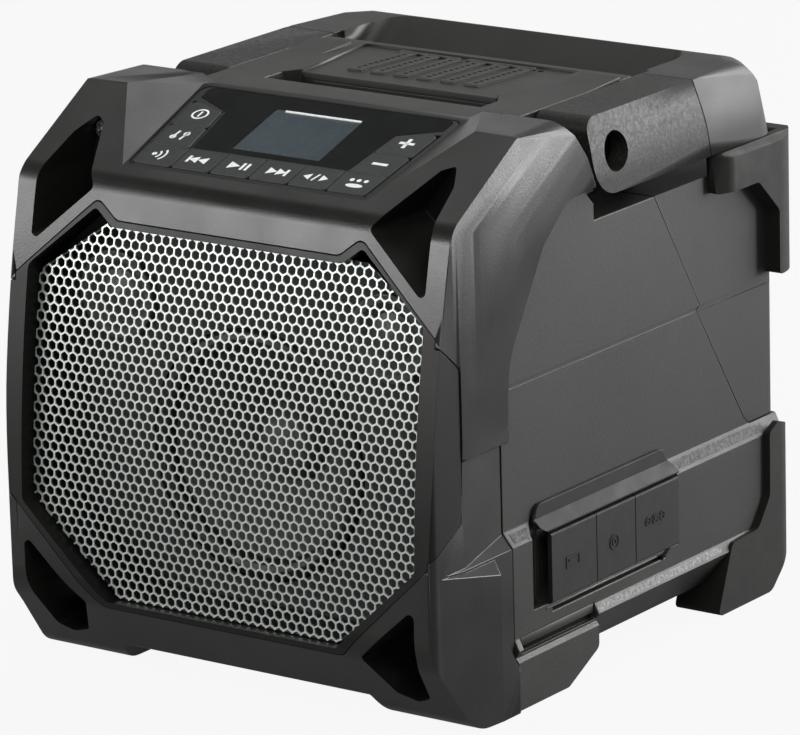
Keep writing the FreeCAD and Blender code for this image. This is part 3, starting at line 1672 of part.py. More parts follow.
def arm_outline():
    """Side view of the handle lying flat, from its round front end to the leaning rear."""
    return [
        (pivot_y - handle_front_reach, handle_bottom_z, handle_front_radius),
        (handle_rear_y, handle_bottom_z, 3.0),
        (handle_rear_y - handle_rear_lean, handle_top_z, handle_rear_radius),
        (pivot_y - handle_front_reach, handle_top_z, handle_front_top_radius),
    ]


def arm_bar():
    """Right arm at full length, its outer face bowed out below the top edge."""
    bar = prism_yz(arm_outline(), arm_inner_half, handle_half_width)
    section = [
        (arm_inner_half, handle_bottom_z - 1.0),
        (handle_half_width, handle_bottom_z - 1.0),
        (handle_half_width, handle_top_z - arm_bow_height, arm_bow_radius),
        (handle_top_half, handle_top_z),
        (arm_inner_half, handle_top_z),
    ]
    return bar.common(prism_xz(section, -100.0, rear_y))


def joint_outline(gap, rear):
    """Side view of the space ahead of the arm joint, or behind it."""
    far = rear_y + 20.0 if rear else -60.0
    shift = gap if rear else 0.0
    lean = (arm_joint_bottom_y - arm_joint_top_y) / (handle_top_z - handle_bottom_z)
    return [
        (far, handle_bottom_z - 10.0),
        (arm_joint_bottom_y + 10.0 * lean + shift, handle_bottom_z - 10.0),
        (arm_joint_top_y - 10.0 * lean + shift, handle_top_z + 10.0),
        (far, handle_top_z + 10.0),
    ]


def handle_arm():
    """Front part of the right handle arm with the pivot bore and its counterbore."""
    arm = arm_bar().common(prism_yz(joint_outline(0.0, False), 0.0, clear_x))
    arm = arm.cut(rod_x(0.0, clear_x, pivot_y, pivot_z, pivot_pin_radius + pivot_bore_clearance))
    head_x = handle_half_width - counterbore_depth
    arm = arm.cut(rod_x(head_x, clear_x, pivot_y, pivot_z, counterbore_radius))
    return single(arm)


def finger_dish():
    """Rounded hollow in the top of the crossbar for the fingers."""
    dish = prism_yz([
        (grip_front_y - 8.0, grip_front_z),
        (grip_front_y + 12.0, grip_front_z, 30.0),
        (grip_back_y + 3.0, handle_top_z + 5.0),
        (grip_front_y - 8.0, handle_top_z + 5.0),
    ], -dish_half_width, dish_half_width)
    ends = []
    for edge in dish.Edges:
        box = edge.BoundBox
        if box.XLength < 1e-6 and box.YMin > grip_front_y + 2.0 and box.ZLength > 4.0:
            ends.append(edge)
    return dish.makeFillet(dish_end_radius, ends)


def handle_grip():
    """Rear crossbar of the handle with its finger dish and both arm roots."""
    root = arm_bar().common(prism_yz(joint_outline(joint_gap, True), 0.0, clear_x))
    lean = handle_rear_lean / (handle_top_z - handle_bottom_z)
    bar = prism_yz([
        (grip_front_y, grip_floor_z, 4.0),
        (handle_rear_y - lean * (grip_floor_z - handle_bottom_z), grip_floor_z),
        (handle_rear_y - handle_rear_lean, handle_top_z, handle_rear_radius),
        (grip_front_y, handle_top_z),
    ], -arm_inner_half - 3.0, arm_inner_half + 3.0)
    grip = root.fuse(mirrored(root)).fuse(bar.cut(finger_dish()))
    plan = symmetric([
        (handle_half_width, -30.0),
        (handle_half_width, handle_rear_y, handle_plan_radius),
    ])
    wire = outline(plan, lambda p: Vector(p.x, p.y, handle_bottom_z))
    leaning = Part.Face(wire).extrude(Vector(0, -handle_rear_lean, handle_top_z - handle_bottom_z))
    return single(grip.common(leaning))


def handle_pivots():
    """Pivot screws, one in each arm, with their heads down in the counterbores."""
    head_x = handle_half_width - counterbore_depth
    pin = rod_x(deck_half_width - 12.0, head_x + 0.3, pivot_y, pivot_z, pivot_pin_radius)
    head = rod_x(head_x + 0.3, head_x + 0.3 + pivot_head_height, pivot_y, pivot_z, pivot_head_radius)
    drive = hexagon_x(head_x + 1.2, head_x + 5.0, pivot_y, pivot_z, 5.0)
    return both_sides(single(pin.fuse(head).cut(drive)))


def hexagon_x(x_from, x_to, y, z, across):
    """Hexagonal bar along X."""
    radius = across / math.sqrt(3)
    corners = []
    for step in range(6):
        angle = math.radians(60 * step)
        corners.append((y + radius * math.cos(angle), z + radius * math.sin(angle)))
    return prism_yz(corners, x_from, x_to)


# Fasteners

def screw_places():
    """Seat of each screw on the right side, at the back of its pocket."""
    return (
        (upper_screw_x, upper_pocket_depth_y, upper_screw_z),
        (lower_screw_x, lower_pocket_depth_y, lower_screw_z),
    )


def bezel_screws():
    """Four cross-head screws seated at the back of the guard pockets."""
    screws = []
    arm = screw_head_radius * 0.67
    half = screw_slot_width / 2
    for x, y, z in screw_places():
        face_y = y - screw_head_height
        head = rod_y(x, face_y, y, z, screw_head_radius)
        shank = rod_y(x, y - 0.5, y + screw_length, z, screw_shank_radius)
        floor_y = face_y + screw_slot_depth
        slot = block(x - half, x + half, face_y - 1.0, floor_y, z - arm, z + arm)
        cross = block(x - arm, x + arm, face_y - 1.0, floor_y, z - half, z + half)
        screw = head.fuse(shank).cut(slot).cut(cross)
        screws += [single(screw), single(mirrored(screw))]
    return Part.Compound(screws)


def main():
    """Build each piece and write it to its own file."""
    os.makedirs("parts", exist_ok=True)
    front = front_housing()
    rear = rear_housing()
    usb, aux, power = sockets()
    right_upper = upper_bumper(rear)
    right_lower = lower_bumper(front, rear)
    right_arm = handle_arm()
    pieces = {
        "front_bezel": front_bezel(),
        "grille_frame": grille_frame(),
        "grille": grille(),
        "front_housing": front,
        "rear_housing": rear,
        "top_cover": top_cover(),
        "top_lid": top_lid(),
        "control_panel": control_panel(),
        "display_window": display_window(),
        "lcd_module": lcd_module(),
        "control_board": control_board(),
        "key_switches": key_switches(),
        "handle_grip": handle_grip(),
        "handle_arm_right": right_arm,
        "handle_arm_left": mirrored(right_arm),
        "handle_pivots": handle_pivots(),
        "bumper_upper_right": right_upper,
        "bumper_upper_left": mirrored(right_upper),
        "bumper_lower_right": right_lower,
        "bumper_lower_left": mirrored(right_lower),
        "port_cover": port_strip(),
        "flap_usb": flap(port_front_y, port_divider_one_y),
        "flap_aux": flap(port_divider_one_y, port_divider_two_y),
        "flap_dc": flap(port_divider_two_y, port_rear_y),
        "usb_socket": usb,
        "aux_socket": aux,
        "dc_socket": power,
        "port_board": port_board(),
        "battery_door": battery_door(),
        "door_latch": door_latch(),
        "door_hinge_pin": door_hinge_pin(),
        "battery_bay": battery_bay(),
        "battery_terminals": battery_terminals(),
        "main_board": main_board(),
        "heat_sink": heat_sink(),
        "speaker_baffle": speaker_baffle(),
        "woofer_basket": woofer_basket(),
        "woofer_magnet": woofer_magnet(),
        "woofer_cone": woofer_cone(),
        "woofer_surround": woofer_surround(),
        "tweeter_left": tweeter(-tweeter_x),
        "tweeter_right": tweeter(tweeter_x),
        "front_feet": front_feet(),
        "bezel_screws": bezel_screws(),
    }
    for name, points in key_outlines().items():
        pieces[name] = key(points)
    for name, shape in pieces.items():
        shape.exportStep("parts/" + name + ".step")
        state = "valid" if shape.isValid() else "INVALID"
        print(name, len(shape.Solids), "solids", round(shape.Volume), "mm3", state)


main()
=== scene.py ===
"""Looks of a rugged wireless speaker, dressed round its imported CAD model.

The moulded shells get rounded edges and a fine moulded grain, the front gets its real
perforated sheet, the keys get their printed symbols, and a plain studio lights the whole.
"""

import logging
import math
from dataclasses import dataclass, field
from enum import Enum

import bmesh
import bpy
from mathutils import Matrix, Vector
from mathutils.geometry import intersect_point_line


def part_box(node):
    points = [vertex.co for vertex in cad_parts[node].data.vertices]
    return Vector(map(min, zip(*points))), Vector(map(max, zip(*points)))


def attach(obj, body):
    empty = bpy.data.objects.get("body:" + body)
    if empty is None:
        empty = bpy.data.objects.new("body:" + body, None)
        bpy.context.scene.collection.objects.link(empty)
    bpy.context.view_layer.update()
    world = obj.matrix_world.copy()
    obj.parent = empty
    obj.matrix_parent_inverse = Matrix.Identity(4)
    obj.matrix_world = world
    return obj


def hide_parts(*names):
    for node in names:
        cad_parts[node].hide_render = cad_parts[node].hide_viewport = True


MM = 0.001
TOUCH_M = 1e-7  # two points nearer than this count as one
WELD_M = 0.002 * MM  # corners of the solids' triangles nearer than this are joined
BLACK = (0.0, 0.0, 0.0, 1.0)
WHITE = (1.0, 1.0, 1.0, 1.0)
LOG = logging.getLogger("speaker")

Xyz = tuple[float, float, float]
Box = tuple[Xyz, Xyz]
Span = tuple[float, float]
BMesh = bmesh.types.BMesh
Socket = bpy.types.NodeSocket

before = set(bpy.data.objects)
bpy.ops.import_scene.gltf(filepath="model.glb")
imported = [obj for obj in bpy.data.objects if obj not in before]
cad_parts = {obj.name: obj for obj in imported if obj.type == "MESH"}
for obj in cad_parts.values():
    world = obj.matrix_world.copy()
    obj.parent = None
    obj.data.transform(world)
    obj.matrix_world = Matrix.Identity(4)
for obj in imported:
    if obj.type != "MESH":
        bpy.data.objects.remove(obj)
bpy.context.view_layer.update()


# Colours and shader nodes

def linear(hex_code: str) -> tuple[float, float, float, float]:
    """Turn an sRGB hex colour into the linear values that shaders take.

    Args:
        hex_code: Colour as "#rrggbb".

    Returns:
        Linear red, green, blue and an alpha of 1.
    """
    channels = [int(hex_code[i:i + 2], 16) / 255.0 for i in (1, 3, 5)]
    red, green, blue = (c / 12.92 if c <= 0.04045 else ((c + 0.055) / 1.055) ** 2.4
                        for c in channels)
    return (red, green, blue, 1.0)


def add_node(tree: bpy.types.NodeTree, kind: str, settings: dict | None = None,
             inputs: dict | None = None) -> bpy.types.Node:
    """Add one node with its settings, and its inputs set or linked.

    Args:
        tree: Node tree that takes the node.
        kind: Name of the node type.
        settings: Property values by name.
        inputs: Input values or output sockets to link, by input name or index.

    Returns:
        The new node.
    """
    node = tree.nodes.new(kind)
    for name, value in (settings or {}).items():
        setattr(node, name, value)
    for name, value in (inputs or {}).items():
        socket = node.inputs[name]
        if isinstance(value, Socket):
            tree.links.new(value, socket)
        else:
            socket.default_value = value
    return node


def calculate(tree: bpy.types.NodeTree, operation: str, first: Socket,
              second: Socket | float) -> Socket:
    """Value that a Math node works out from two others."""
    return add_node(tree, "ShaderNodeMath", {"operation": operation},
                    {0: first, 1: second}).outputs[0]


def empty_tree(owner: bpy.types.Material | bpy.types.World) -> bpy.types.NodeTree:
    """Give a material or a world an empty node tree.

    Args:
        owner: The material or world.

    Returns:
        Its node tree.
    """
    owner.use_nodes = True
    owner.node_tree.nodes.clear()
    return owner.node_tree


def per_mm(size_mm: float) -> float:
    """Scale of a texture on Object coordinates whose feature is this many millimetres wide."""
    return 1.0 / (size_mm * MM)


@dataclass(frozen=True)
class Pattern:
    """Clouds with features of a size, or rounded cells as spark erosion leaves in a mould.

    From low to high the pattern counts as nought to one. A stretch below one draws it out
    along Z.
    """

    size_mm: float
    detail: float = 2.0
    rough: float = 0.5
    cells: bool = False
    low: float = 0.3
    high: float = 0.7
    stretch: float = 1.0


class Surface:
    """A material under construction, with its Object coordinates and its shader."""

    def __init__(self, name: str) -> None:
        """Start an empty material with a Principled shader.

        Args:
            name: Name of the material.
        """
        self.material = bpy.data.materials.new(name)
        self.tree = empty_tree(self.material)
        self.place = add_node(self.tree, "ShaderNodeTexCoord").outputs["Object"]
        self.shader = add_node(self.tree, "ShaderNodeBsdfPrincipled")
        add_node(self.tree, "ShaderNodeOutputMaterial",
                 inputs={"Surface": self.shader.outputs["BSDF"]})

    def set(self, **values: float) -> None:
        """Set constants on the shader, with spaces in socket names written as underscores."""
        for name, value in values.items():
            self.shader.inputs[name.replace("_", " ")].default_value = value

    def link(self, name: str, socket: Socket) -> None:
        """Drive one shader input from a socket."""
        self.tree.links.new(socket, self.shader.inputs[name])

    def draw(self, pattern: Pattern) -> Socket:
        """Draw a pattern on the surface.

        Args:
            pattern: The pattern.

        Returns:
            Its value.
        """
        place = self.place
        if pattern.stretch != 1.0:
            place = add_node(self.tree, "ShaderNodeMapping", inputs={
                "Vector": place, "Scale": (1.0, 1.0, pattern.stretch)}).outputs["Vector"]
        inputs = {"Vector": place, "Scale": per_mm(pattern.size_mm)}
        if pattern.cells:
            return add_node(self.tree, "ShaderNodeTexVoronoi", inputs=inputs).outputs["Distance"]
        inputs |= {"Detail": pattern.detail, "Roughness": pattern.rough}
        return add_node(self.tree, "ShaderNodeTexNoise", inputs=inputs).outputs["Fac"]

    def spread(self, pattern: Pattern, low: float, high: float) -> Socket:
        """Draw a pattern whose counted range is stretched onto another, with its ends held."""
        return add_node(self.tree, "ShaderNodeMapRange", inputs={
            "Value": self.draw(pattern), "From Min": pattern.low, "From Max": pattern.high,
            "To Min": low, "To Max": high}).outputs["Result"]

    def blend(self, factor: Socket, first: Socket | str, second: Socket | str,
              way: str = "MIX") -> Socket:
        """Blend two colours by a factor.

        Args:
            factor: Share of the second colour.
            first: Colour under it, as a socket or a hex colour.
            second: Colour over it, as a socket or a hex colour.
            way: Name of the way to blend.

        Returns:
            The blended colour.
        """
        under, over = (linear(c) if isinstance(c, str) else c for c in (first, second))
        return add_node(self.tree, "ShaderNodeMix", {"data_type": "RGBA", "blend_type": way},
                        {0: factor, 6: under, 7: over}).outputs[2]

    def bricks(self, width_mm: float, height_mm: float, joint_mm: float, shift: float,
               brick: tuple, joint: tuple) -> Socket:
        """Draw a regular grid of bricks and joints.

        Args:
            width_mm: Width of a brick with its joint.
            height_mm: Height of a row.
            joint_mm: Width of a joint.
            shift: Share of a brick by which every other row is moved.
            brick: Linear colour of the bricks.
            joint: Linear colour of the joints.

        Returns:
            The grid's colour.
        """
        return add_node(self.tree, "ShaderNodeTexBrick", {"offset": shift}, {
            "Vector": self.place, "Color1": brick, "Color2": brick, "Mortar": joint,
            "Scale": per_mm(1.0), "Mortar Size": joint_mm, "Brick Width": width_mm,
            "Row Height": height_mm}).outputs["Color"]

    def bump(self, height: Socket, depth_mm: float) -> None:
        """Raise the surface by a pattern of a depth in millimetres."""
        node = add_node(self.tree, "ShaderNodeBump", inputs={
            "Height": height, "Distance": depth_mm * MM, "Strength": 1.0})
        self.link("Normal", node.outputs["Normal"])


# Finishes

@dataclass(frozen=True)
class Coat:
    """What the finishes share: two tones, an uneven shine and a fine relief.

    The roughness falls and rises by the two values of the swing in the shine's pattern.
    The relief is the grain and a share of a finer pattern over it. Without a pattern of its
    own the tone follows the grain.
    """

    name: str
    colour: str
    second: str
    roughness: float
    swing: Span
    shine: Pattern
    grain: Pattern
    relief_mm: float
    tone: Pattern | None = None
    fine: Pattern | None = None
    fine_share: float = 0.0
    ior: float = 1.5
    gloss: float = 0.5
    metallic: float = 0.0

    def paint(self, s: Surface) -> Socket:
        """Colour of the surface, between its two tones."""
        return s.blend(s.spread(self.tone or self.grain, 0.0, 1.0), self.colour, self.second)

    def relief(self, s: Surface) -> Socket:
        """Work out the height of the surface.

        Args:
            s: Surface that takes the relief.

        Returns:
            The height.
        """
        height = s.draw(self.grain)
        if self.fine:
            finer = calculate(s.tree, "MULTIPLY", s.draw(self.fine), self.fine_share)
            height = calculate(s.tree, "ADD", height, finer)
        return height

    def add_layers(self, s: Surface) -> None:
        """Add the thin layers that some finishes wear; the plain ones have none."""

    def build(self) -> bpy.types.Material:
        """Make the material.

        Returns:
            The new material.
        """
        s = Surface(self.name)
        s.link("Base Color", self.paint(s))
        less, more = self.swing
        s.link("Roughness", s.spread(self.shine, self.roughness - less, self.roughness + more))
        s.bump(self.relief(s), self.relief_mm)
        s.set(IOR=self.ior, Specular_IOR_Level=self.gloss, Metallic=self.metallic)
        self.add_layers(s)
        return s.material


@dataclass(frozen=True)
class MouldedAbs(Coat):
    """ABS and polycarbonate blend, injection moulded in a spark-eroded steel mould.

    The eroded mould leaves a fine even grain that breaks reflections into a broad satin sheen.
    The grain is drawn coarser than the real 0.1 mm, so that it shows.
    """

    roughness: float = 0.48
    swing: Span = (0.04, 0.05)
    shine: Pattern = Pattern(25.0, 3.0)
    grain: Pattern = Pattern(0.7, cells=True)
    relief_mm: float = 0.02
    tone: Pattern = Pattern(60.0)
    fine: Pattern = Pattern(0.35)
    fine_share: float = 0.6
    ior: float = 1.52
    gloss: float = 0.4


def flecks(size_mm: float) -> Pattern:
    """Grains of a size, each with a pale middle painted as the highlight that the grain catches."""
    return Pattern(size_mm, cells=True, low=0.5, high=0.1)


@dataclass(frozen=True)
class GlassFilledNylon(Coat):
    """Glass-fibre filled polyamide, moulded with a coarse eroded texture for grip.

    Its larger grains catch the light one by one, and the pale middle painted on each grain stands
    in for that highlight, so the surface looks speckled and pale.
    """

    swing: Span = (0.08, 0.08)
    shine: Pattern = Pattern(1.6)
    grain: Pattern = flecks(0.9)
    relief_mm: float = 0.03
    fine: Pattern = Pattern(0.45)
    fine_share: float = 0.8
    ior: float = 1.55


@dataclass(frozen=True)
class OvermouldedRubber(Coat):
    """Thermoplastic rubber moulded over the corners, with a dull matt skin and a faint bloom.

    The soft skin scatters light widely, so it looks darker and warmer than the plastic.
    """

    colour: str = "#131311"
    second: str = "#1a1a17"
    roughness: float = 0.6
    swing: Span = (0.05, 0.07)
    shine: Pattern = Pattern(6.0, 3.0)
    grain: Pattern = Pattern(0.5)
    relief_mm: float = 0.02
    tone: Pattern = Pattern(18.0, 4.0)
    fine: Pattern = Pattern(3.0)
    fine_share: float = 0.5
    gloss: float = 0.25
    bloom: float = 0.03
    bloom_roughness: float = 0.5

    def add_layers(self, s: Surface) -> None:
        """Add the bloom as a faint sheen."""
        s.set(Sheen_Weight=self.bloom, Sheen_Roughness=self.bloom_roughness)


@dataclass(frozen=True)
class PowderCoatedSteel(Coat):
    """Perforated sheet steel with a silver powder coat.

    Powder flows out slightly uneven, which gives a bright surface with a soft orange peel.
    """

    colour: str = "#c3c7c2"
    second: str = "#aab0ab"
    roughness: float = 0.34
    swing: Span = (0.05, 0.08)
    shine: Pattern = Pattern(2.0)
    grain: Pattern = Pattern(1.1)
    relief_mm: float = 0.02
    tone: Pattern = Pattern(0.35, cells=True, low=0.1, high=0.6)
    metallic: float = 0.35


@dataclass(frozen=True)
class SiliconeRubber(Coat):
    """Compression-moulded silicone key with a matt lacquer.

    The lacquer looks even and dry, a little paler than the glossy window beside it.
    """

    colour: str = "#2b2d2c"
    second: str = "#313432"
    roughness: float = 0.55
    swing: Span = (0.03, 0.05)
    shine: Pattern = Pattern(1.5)
    grain: Pattern = Pattern(0.4)
    relief_mm: float = 0.012
    tone: Pattern = Pattern(4.0, 3.0)
    ior: float = 1.43


@dataclass(frozen=True)
class ScreenInk(Coat):
    """Opaque white ink pad-printed on the keys.

    The ink lies thin and dull, with edges that thin out very slightly.
    """

    colour: str = "#eef0ee"
    second: str = "#d9dcd9"
    roughness: float = 0.5
    swing: Span = (0.0, 0.12)
    shine: Pattern = Pattern(0.6)
    grain: Pattern = Pattern(0.3)
    relief_mm: float = 0.005
    tone: Pattern = Pattern(0.8)


@dataclass(frozen=True)
class BackPrintedAcrylic(Coat):
    """Clear acrylic window printed black on its back, with a faint haze of handling.

    The polished front gives a sharp thin reflection over a deep black.
    """

    colour: str = "#0d0e0e"
    second: str = "#121414"
    roughness: float = 0.1
    swing: Span = (0.0, 0.1)
    shine: Pattern = Pattern(8.0, 4.0)
    grain: Pattern = Pattern(12.0)
    relief_mm: float = 0.01
    tone: Pattern = Pattern(15.0, 4.0)
    ior: float = 1.49
    polish: float = 0.3
    polish_roughness: float = 0.06

    def add_layers(self, s: Surface) -> None:
        """Add the polished front as a clear coat."""
        s.set(Coat_Weight=self.polish, Coat_Roughness=self.polish_roughness)


@dataclass(frozen=True)
class LiquidCrystal(Coat):
    """Unlit liquid crystal screen behind its polariser.

    The resting cells look blue-grey, with a fine dot grid that only just shows.
    """

    colour: str = "#414a4f"
    second: str = "#3c464c"
    roughness: float = 0.22
    swing: Span = (0.0, 0.08)
    shine: Pattern = Pattern(5.0)
    grain: Pattern = Pattern(0.5)
    relief_mm: float = 0.004
    tone: Pattern = Pattern(30.0)
    tint: str = "#b8c0c4"
    tint_share: float = 0.35
    dot_mm: float = 0.5
    line_mm: float = 0.06

    def paint(self, s: Surface) -> Socket:
        """Dot grid with a soft change of tone over it."""
        grid = s.bricks(self.dot_mm, self.dot_mm, self.line_mm, 0.0, linear(self.colour),
                        linear(self.second))
        return s.blend(s.spread(self.tone, 0.0, self.tint_share), grid, self.tint, "MULTIPLY")


@dataclass(frozen=True)
class TurnedSteel(Coat):
    """Steel, turned or headed, with a zinc or black finish.

    Fine tool marks stretch the highlights a little, and the finish is thinner on the edges.
    """

    swing: Span = (0.08, 0.1)
    shine: Pattern = Pattern(0.6)
    grain: Pattern = Pattern(0.25)
    relief_mm: float = 0.008
    tone: Pattern = Pattern(1.5, 4.0)
    metallic: float = 1.0


@dataclass(frozen=True)
class ExtrudedAluminium(Coat):
    """Aluminium heat sink, extruded and left bare.

    The die leaves lines along the fins and a bright grey metal between them.
    """

    colour: str = "#c4c6c8"
    second: str = "#a4a7aa"
    roughness: float = 0.28
    swing: Span = (0.0, 0.14)
    shine: Pattern = Pattern(0.5, 3.0, stretch=0.04)
    grain: Pattern = Pattern(0.5, 3.0, stretch=0.04)
    relief_mm: float = 0.01
    metallic: float = 1.0


@dataclass(frozen=True)
class PressedPaper(Coat):
    """Black pulp cone, felted on a screen and pressed.

    Loose fibres give a dull, slightly fuzzy surface with small paler flecks.
    """

    colour: str = "#2e2e2d"
    second: str = "#464644"
    roughness: float = 0.6
    swing: Span = (0.08, 0.08)
    shine: Pattern = Pattern(3.0)
    grain: Pattern = Pattern(0.7, 5.0)
    relief_mm: float = 0.05
    tone: Pattern = Pattern(1.2, 6.0, 0.7, low=0.45, high=0.7)


@dataclass(frozen=True)
class SinteredFerrite(Coat):
    """Ceramic ferrite magnet, sintered and ground.

    Ground faces look dark grey with a grainy half-matt shine.
    """

    colour: str = "#3a3b3d"
    second: str = "#2a2b2d"
    roughness: float = 0.45
    swing: Span = (0.0, 0.15)
    shine: Pattern = Pattern(2.0)
    grain: Pattern = Pattern(0.6, 4.0)
    relief_mm: float = 0.03
    tone: Pattern = Pattern(0.8, cells=True)
    metallic: float = 0.3


@dataclass(frozen=True)
class SolderMask(Coat):
    """Glass-epoxy circuit board under green solder mask.

    Copper tracks under the mask show as paler lines, and bare pads as small bright dots. The
    pads lie where the grain's cells have their middles.
    """

    colour: str = "#12402a"
    second: str = "#1f5c3c"
    roughness: float = 0.25
    swing: Span = (0.0, 0.15)
    shine: Pattern = Pattern(3.0)
    grain: Pattern = Pattern(3.2, cells=True, low=0.14, high=0.1)
    relief_mm: float = 0.03
    pad: str = "#b9b08c"
    track_mm: float = 0.25
    track_length_mm: float = 7.0
    track_pitch_mm: float = 2.0
    track_shift: float = 0.37

    def relief(self, s: Surface) -> Socket:
        """Tracks, a little raised."""
        return s.bricks(self.track_length_mm, self.track_pitch_mm, self.track_mm,
                        self.track_shift, BLACK, WHITE)

    def paint(self, s: Surface) -> Socket:
        """Mask with its tracks, and pads between them."""
        mask = s.blend(self.relief(s), self.colour, self.second)
        return s.blend(s.spread(self.grain, 0.0, 1.0), mask, self.pad)


@dataclass(frozen=True)
class StudioFloor:
    """Seamless white paper under the speaker.

    Seen directly or through glass it is nearly white, it glows a little in reflections too, and
    it keeps a soft shadow.
    """

    name: str
    colour: str = "#7c7e7e"
    seen_white: float = 0.92
    mirrored_white: float = 0.15

    def build(self) -> bpy.types.Material:
        """Make the material as a mix of plain paper and pure white for the seen rays.

        Returns:
            The new material.
        """
        material = bpy.data.materials.new(self.name)
        tree = empty_tree(material)
        paper = add_node(tree, "ShaderNodeBsdfDiffuse", inputs={"Color": linear(self.colour)})
        white = add_node(tree, "ShaderNodeEmission", inputs={"Color": WHITE, "Strength": 1.0})
        path = add_node(tree, "ShaderNodeLightPath").outputs
        seen = calculate(tree, "MAXIMUM", path["Is Camera Ray"], path["Is Transmission Ray"])
        direct = calculate(tree, "MULTIPLY", seen, self.seen_white)
        mirrored = calculate(tree, "MULTIPLY", path["Is Glossy Ray"], self.mirrored_white)
        mix = add_node(tree, "ShaderNodeMixShader", inputs={
            0: calculate(tree, "MAXIMUM", direct, mirrored), 1: paper.outputs[0],
            2: white.outputs[0]})
        add_node(tree, "ShaderNodeOutputMaterial", inputs={"Surface": mix.outputs[0]})
        return material


class Finish(Enum):
    """Every finish on the speaker, by what it is used for."""

    BEZEL = MouldedAbs("abs_bezel", "#171816", "#1e1f1c", 0.33, gloss=0.42)
    CASE = MouldedAbs("abs_case", "#1f211e", "#262824", relief_mm=0.025)
    RING = MouldedAbs("abs_grille_frame", "#0f100e", "#141512", 0.4, gloss=0.22,
                      grain=Pattern(0.6, cells=True), fine=Pattern(0.3))
    GRIP = MouldedAbs("abs_grip", "#1e201d", "#242622", 0.46)
    # Near-black finish for plates set into vents, grooves, the pin hole and the slot end: painted
    # shade where light does not reach.
    PAINTED_SHADE = MouldedAbs("abs_painted_shade", "#050505", "#090908", 0.8, gloss=0.1)
    # Pale colour of the lip over the flap slot is a painted highlight along its edge.
    PAINTED_HIGHLIGHT_LIP = MouldedAbs("abs_painted_highlight_lip", "#4c4e4a", "#565853", 0.3)
    # Slope finish: the higher roughness is real, the darker colour is painted shade.
    SHADED_SLOPE = MouldedAbs("abs_matt_slope_painted_shade", "#141513", "#1a1b18", 0.62, gloss=0.16)
    # Grain bands: the pale flecks are painted highlights of the sparkle on these slopes.
    GRAIN_PAINTED_HIGHLIGHT = GlassFilledNylon("nylon_grain_band_painted_highlight", "#242723", "#62665f", 0.5,
                               grain=flecks(1.2), relief_mm=0.06)
    GRAIN_PAINTED_HIGHLIGHT_DARK = GlassFilledNylon("nylon_grain_dark_painted_highlight", "#121411", "#32352f", 0.55, gloss=0.3,
                                    grain=flecks(1.1), relief_mm=0.06)
    INNER = MouldedAbs("abs_inner", "#141514", "#191a19", 0.55)
    # The paler second colour of these nylon finishes paints highlights on the grains.
    ARM = GlassFilledNylon("nylon_arm", "#1b1d1a", "#31342f", 0.5, gloss=0.28)
    TERMINAL = GlassFilledNylon("nylon_terminal", "#111212", "#1b1c1c", 0.4,
                                grain=flecks(0.6), relief_mm=0.02)
    BUMPER = OvermouldedRubber("rubber_bumper")
    FLAP = OvermouldedRubber("rubber_flap", "#191a18", "#20211f", 0.55)
    SURROUND = OvermouldedRubber("rubber_surround", "#1a1a19", "#222221", 0.4)
    GRILLE = PowderCoatedSteel("steel_grille")
    BASKET = PowderCoatedSteel("steel_basket", "#1b1c1c", "#141515", 0.4, metallic=0.1)
    KEY = SiliconeRubber("silicone_key")
    # White ink for the printed symbols, also used as a painted highlight along the screen's edge.
    INK = ScreenInk("ink_symbol_and_painted_highlight")
    WINDOW = BackPrintedAcrylic("acrylic_window")
    SCREEN = LiquidCrystal("crystal_screen")
    SCREW = TurnedSteel("steel_screw", "#d8dadb", "#b0b2b4", 0.3)
    PIVOT = TurnedSteel("steel_pivot", "#2b2c2d", "#202122", 0.38)
    SOCKET = TurnedSteel("steel_socket", "#b9babc", "#9c9ea0", 0.22)
    SINK = ExtrudedAluminium("aluminium_sink")
    CONE = PressedPaper("paper_cone")
    DOME = PressedPaper("silk_dome", "#333433", "#4a4b4a", 0.45)
    MAGNET = SinteredFerrite("ferrite_magnet")
    BOARD = SolderMask("board_mask")

    @property
    def material(self) -> bpy.types.Material:
        """The finish's material, made at its first use."""
        return bpy.data.materials.get(self.value.name) or self.value.build()


# Pieces

def finish_piece(name: str, bm: BMesh, finish: Finish, body: str = "case",
                 smooth_deg: float | None = 40.0) -> bpy.types.Object:
    """Turn a finished bmesh into a piece of the speaker.

    Args:
        name: Name of the piece.
        bm: Its shape, in metres at its place. It is freed.
        finish: Its finish.
        body: CAD body that it rides on.
        smooth_deg: Edges sharper than this stay crisp. None keeps the marks on the edges.

    Returns:
        The new object.
    """
    for face in bm.faces:
        face.smooth = True
    mesh = bpy.data.meshes.new(name)
    bm.to_mesh(mesh)
    bm.free()
    if smooth_deg is not None:
        mesh.set_sharp_from_angle(angle=math.radians(smooth_deg))
    mesh.materials.append(finish.material)
    piece = bpy.data.objects.new(name, mesh)
    bpy.context.scene.collection.objects.link(piece)
    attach(piece, body)
    return piece


def dress(**finishes: Finish) -> None:
    """Give CAD nodes that stay as they are their finishes.

    Args:
        finishes: Finish of each node, by the node's name.
    """
    for node, finish in finishes.items():
        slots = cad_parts[node].data.materials
        slots.clear()
        slots.append(finish.material)
        LOG.info("%s keeps its shape, finish %s", node, finish.name)


def everything(bm: BMesh) -> list:
    """All corners, edges and faces of a mesh."""
    return list(bm.verts) + list(bm.edges) + list(bm.faces)


def corners(geometry: list) -> list[bmesh.types.BMVert]:
    """The corners among mixed geometry."""
    return [v for v in geometry if isinstance(v, bmesh.types.BMVert)]


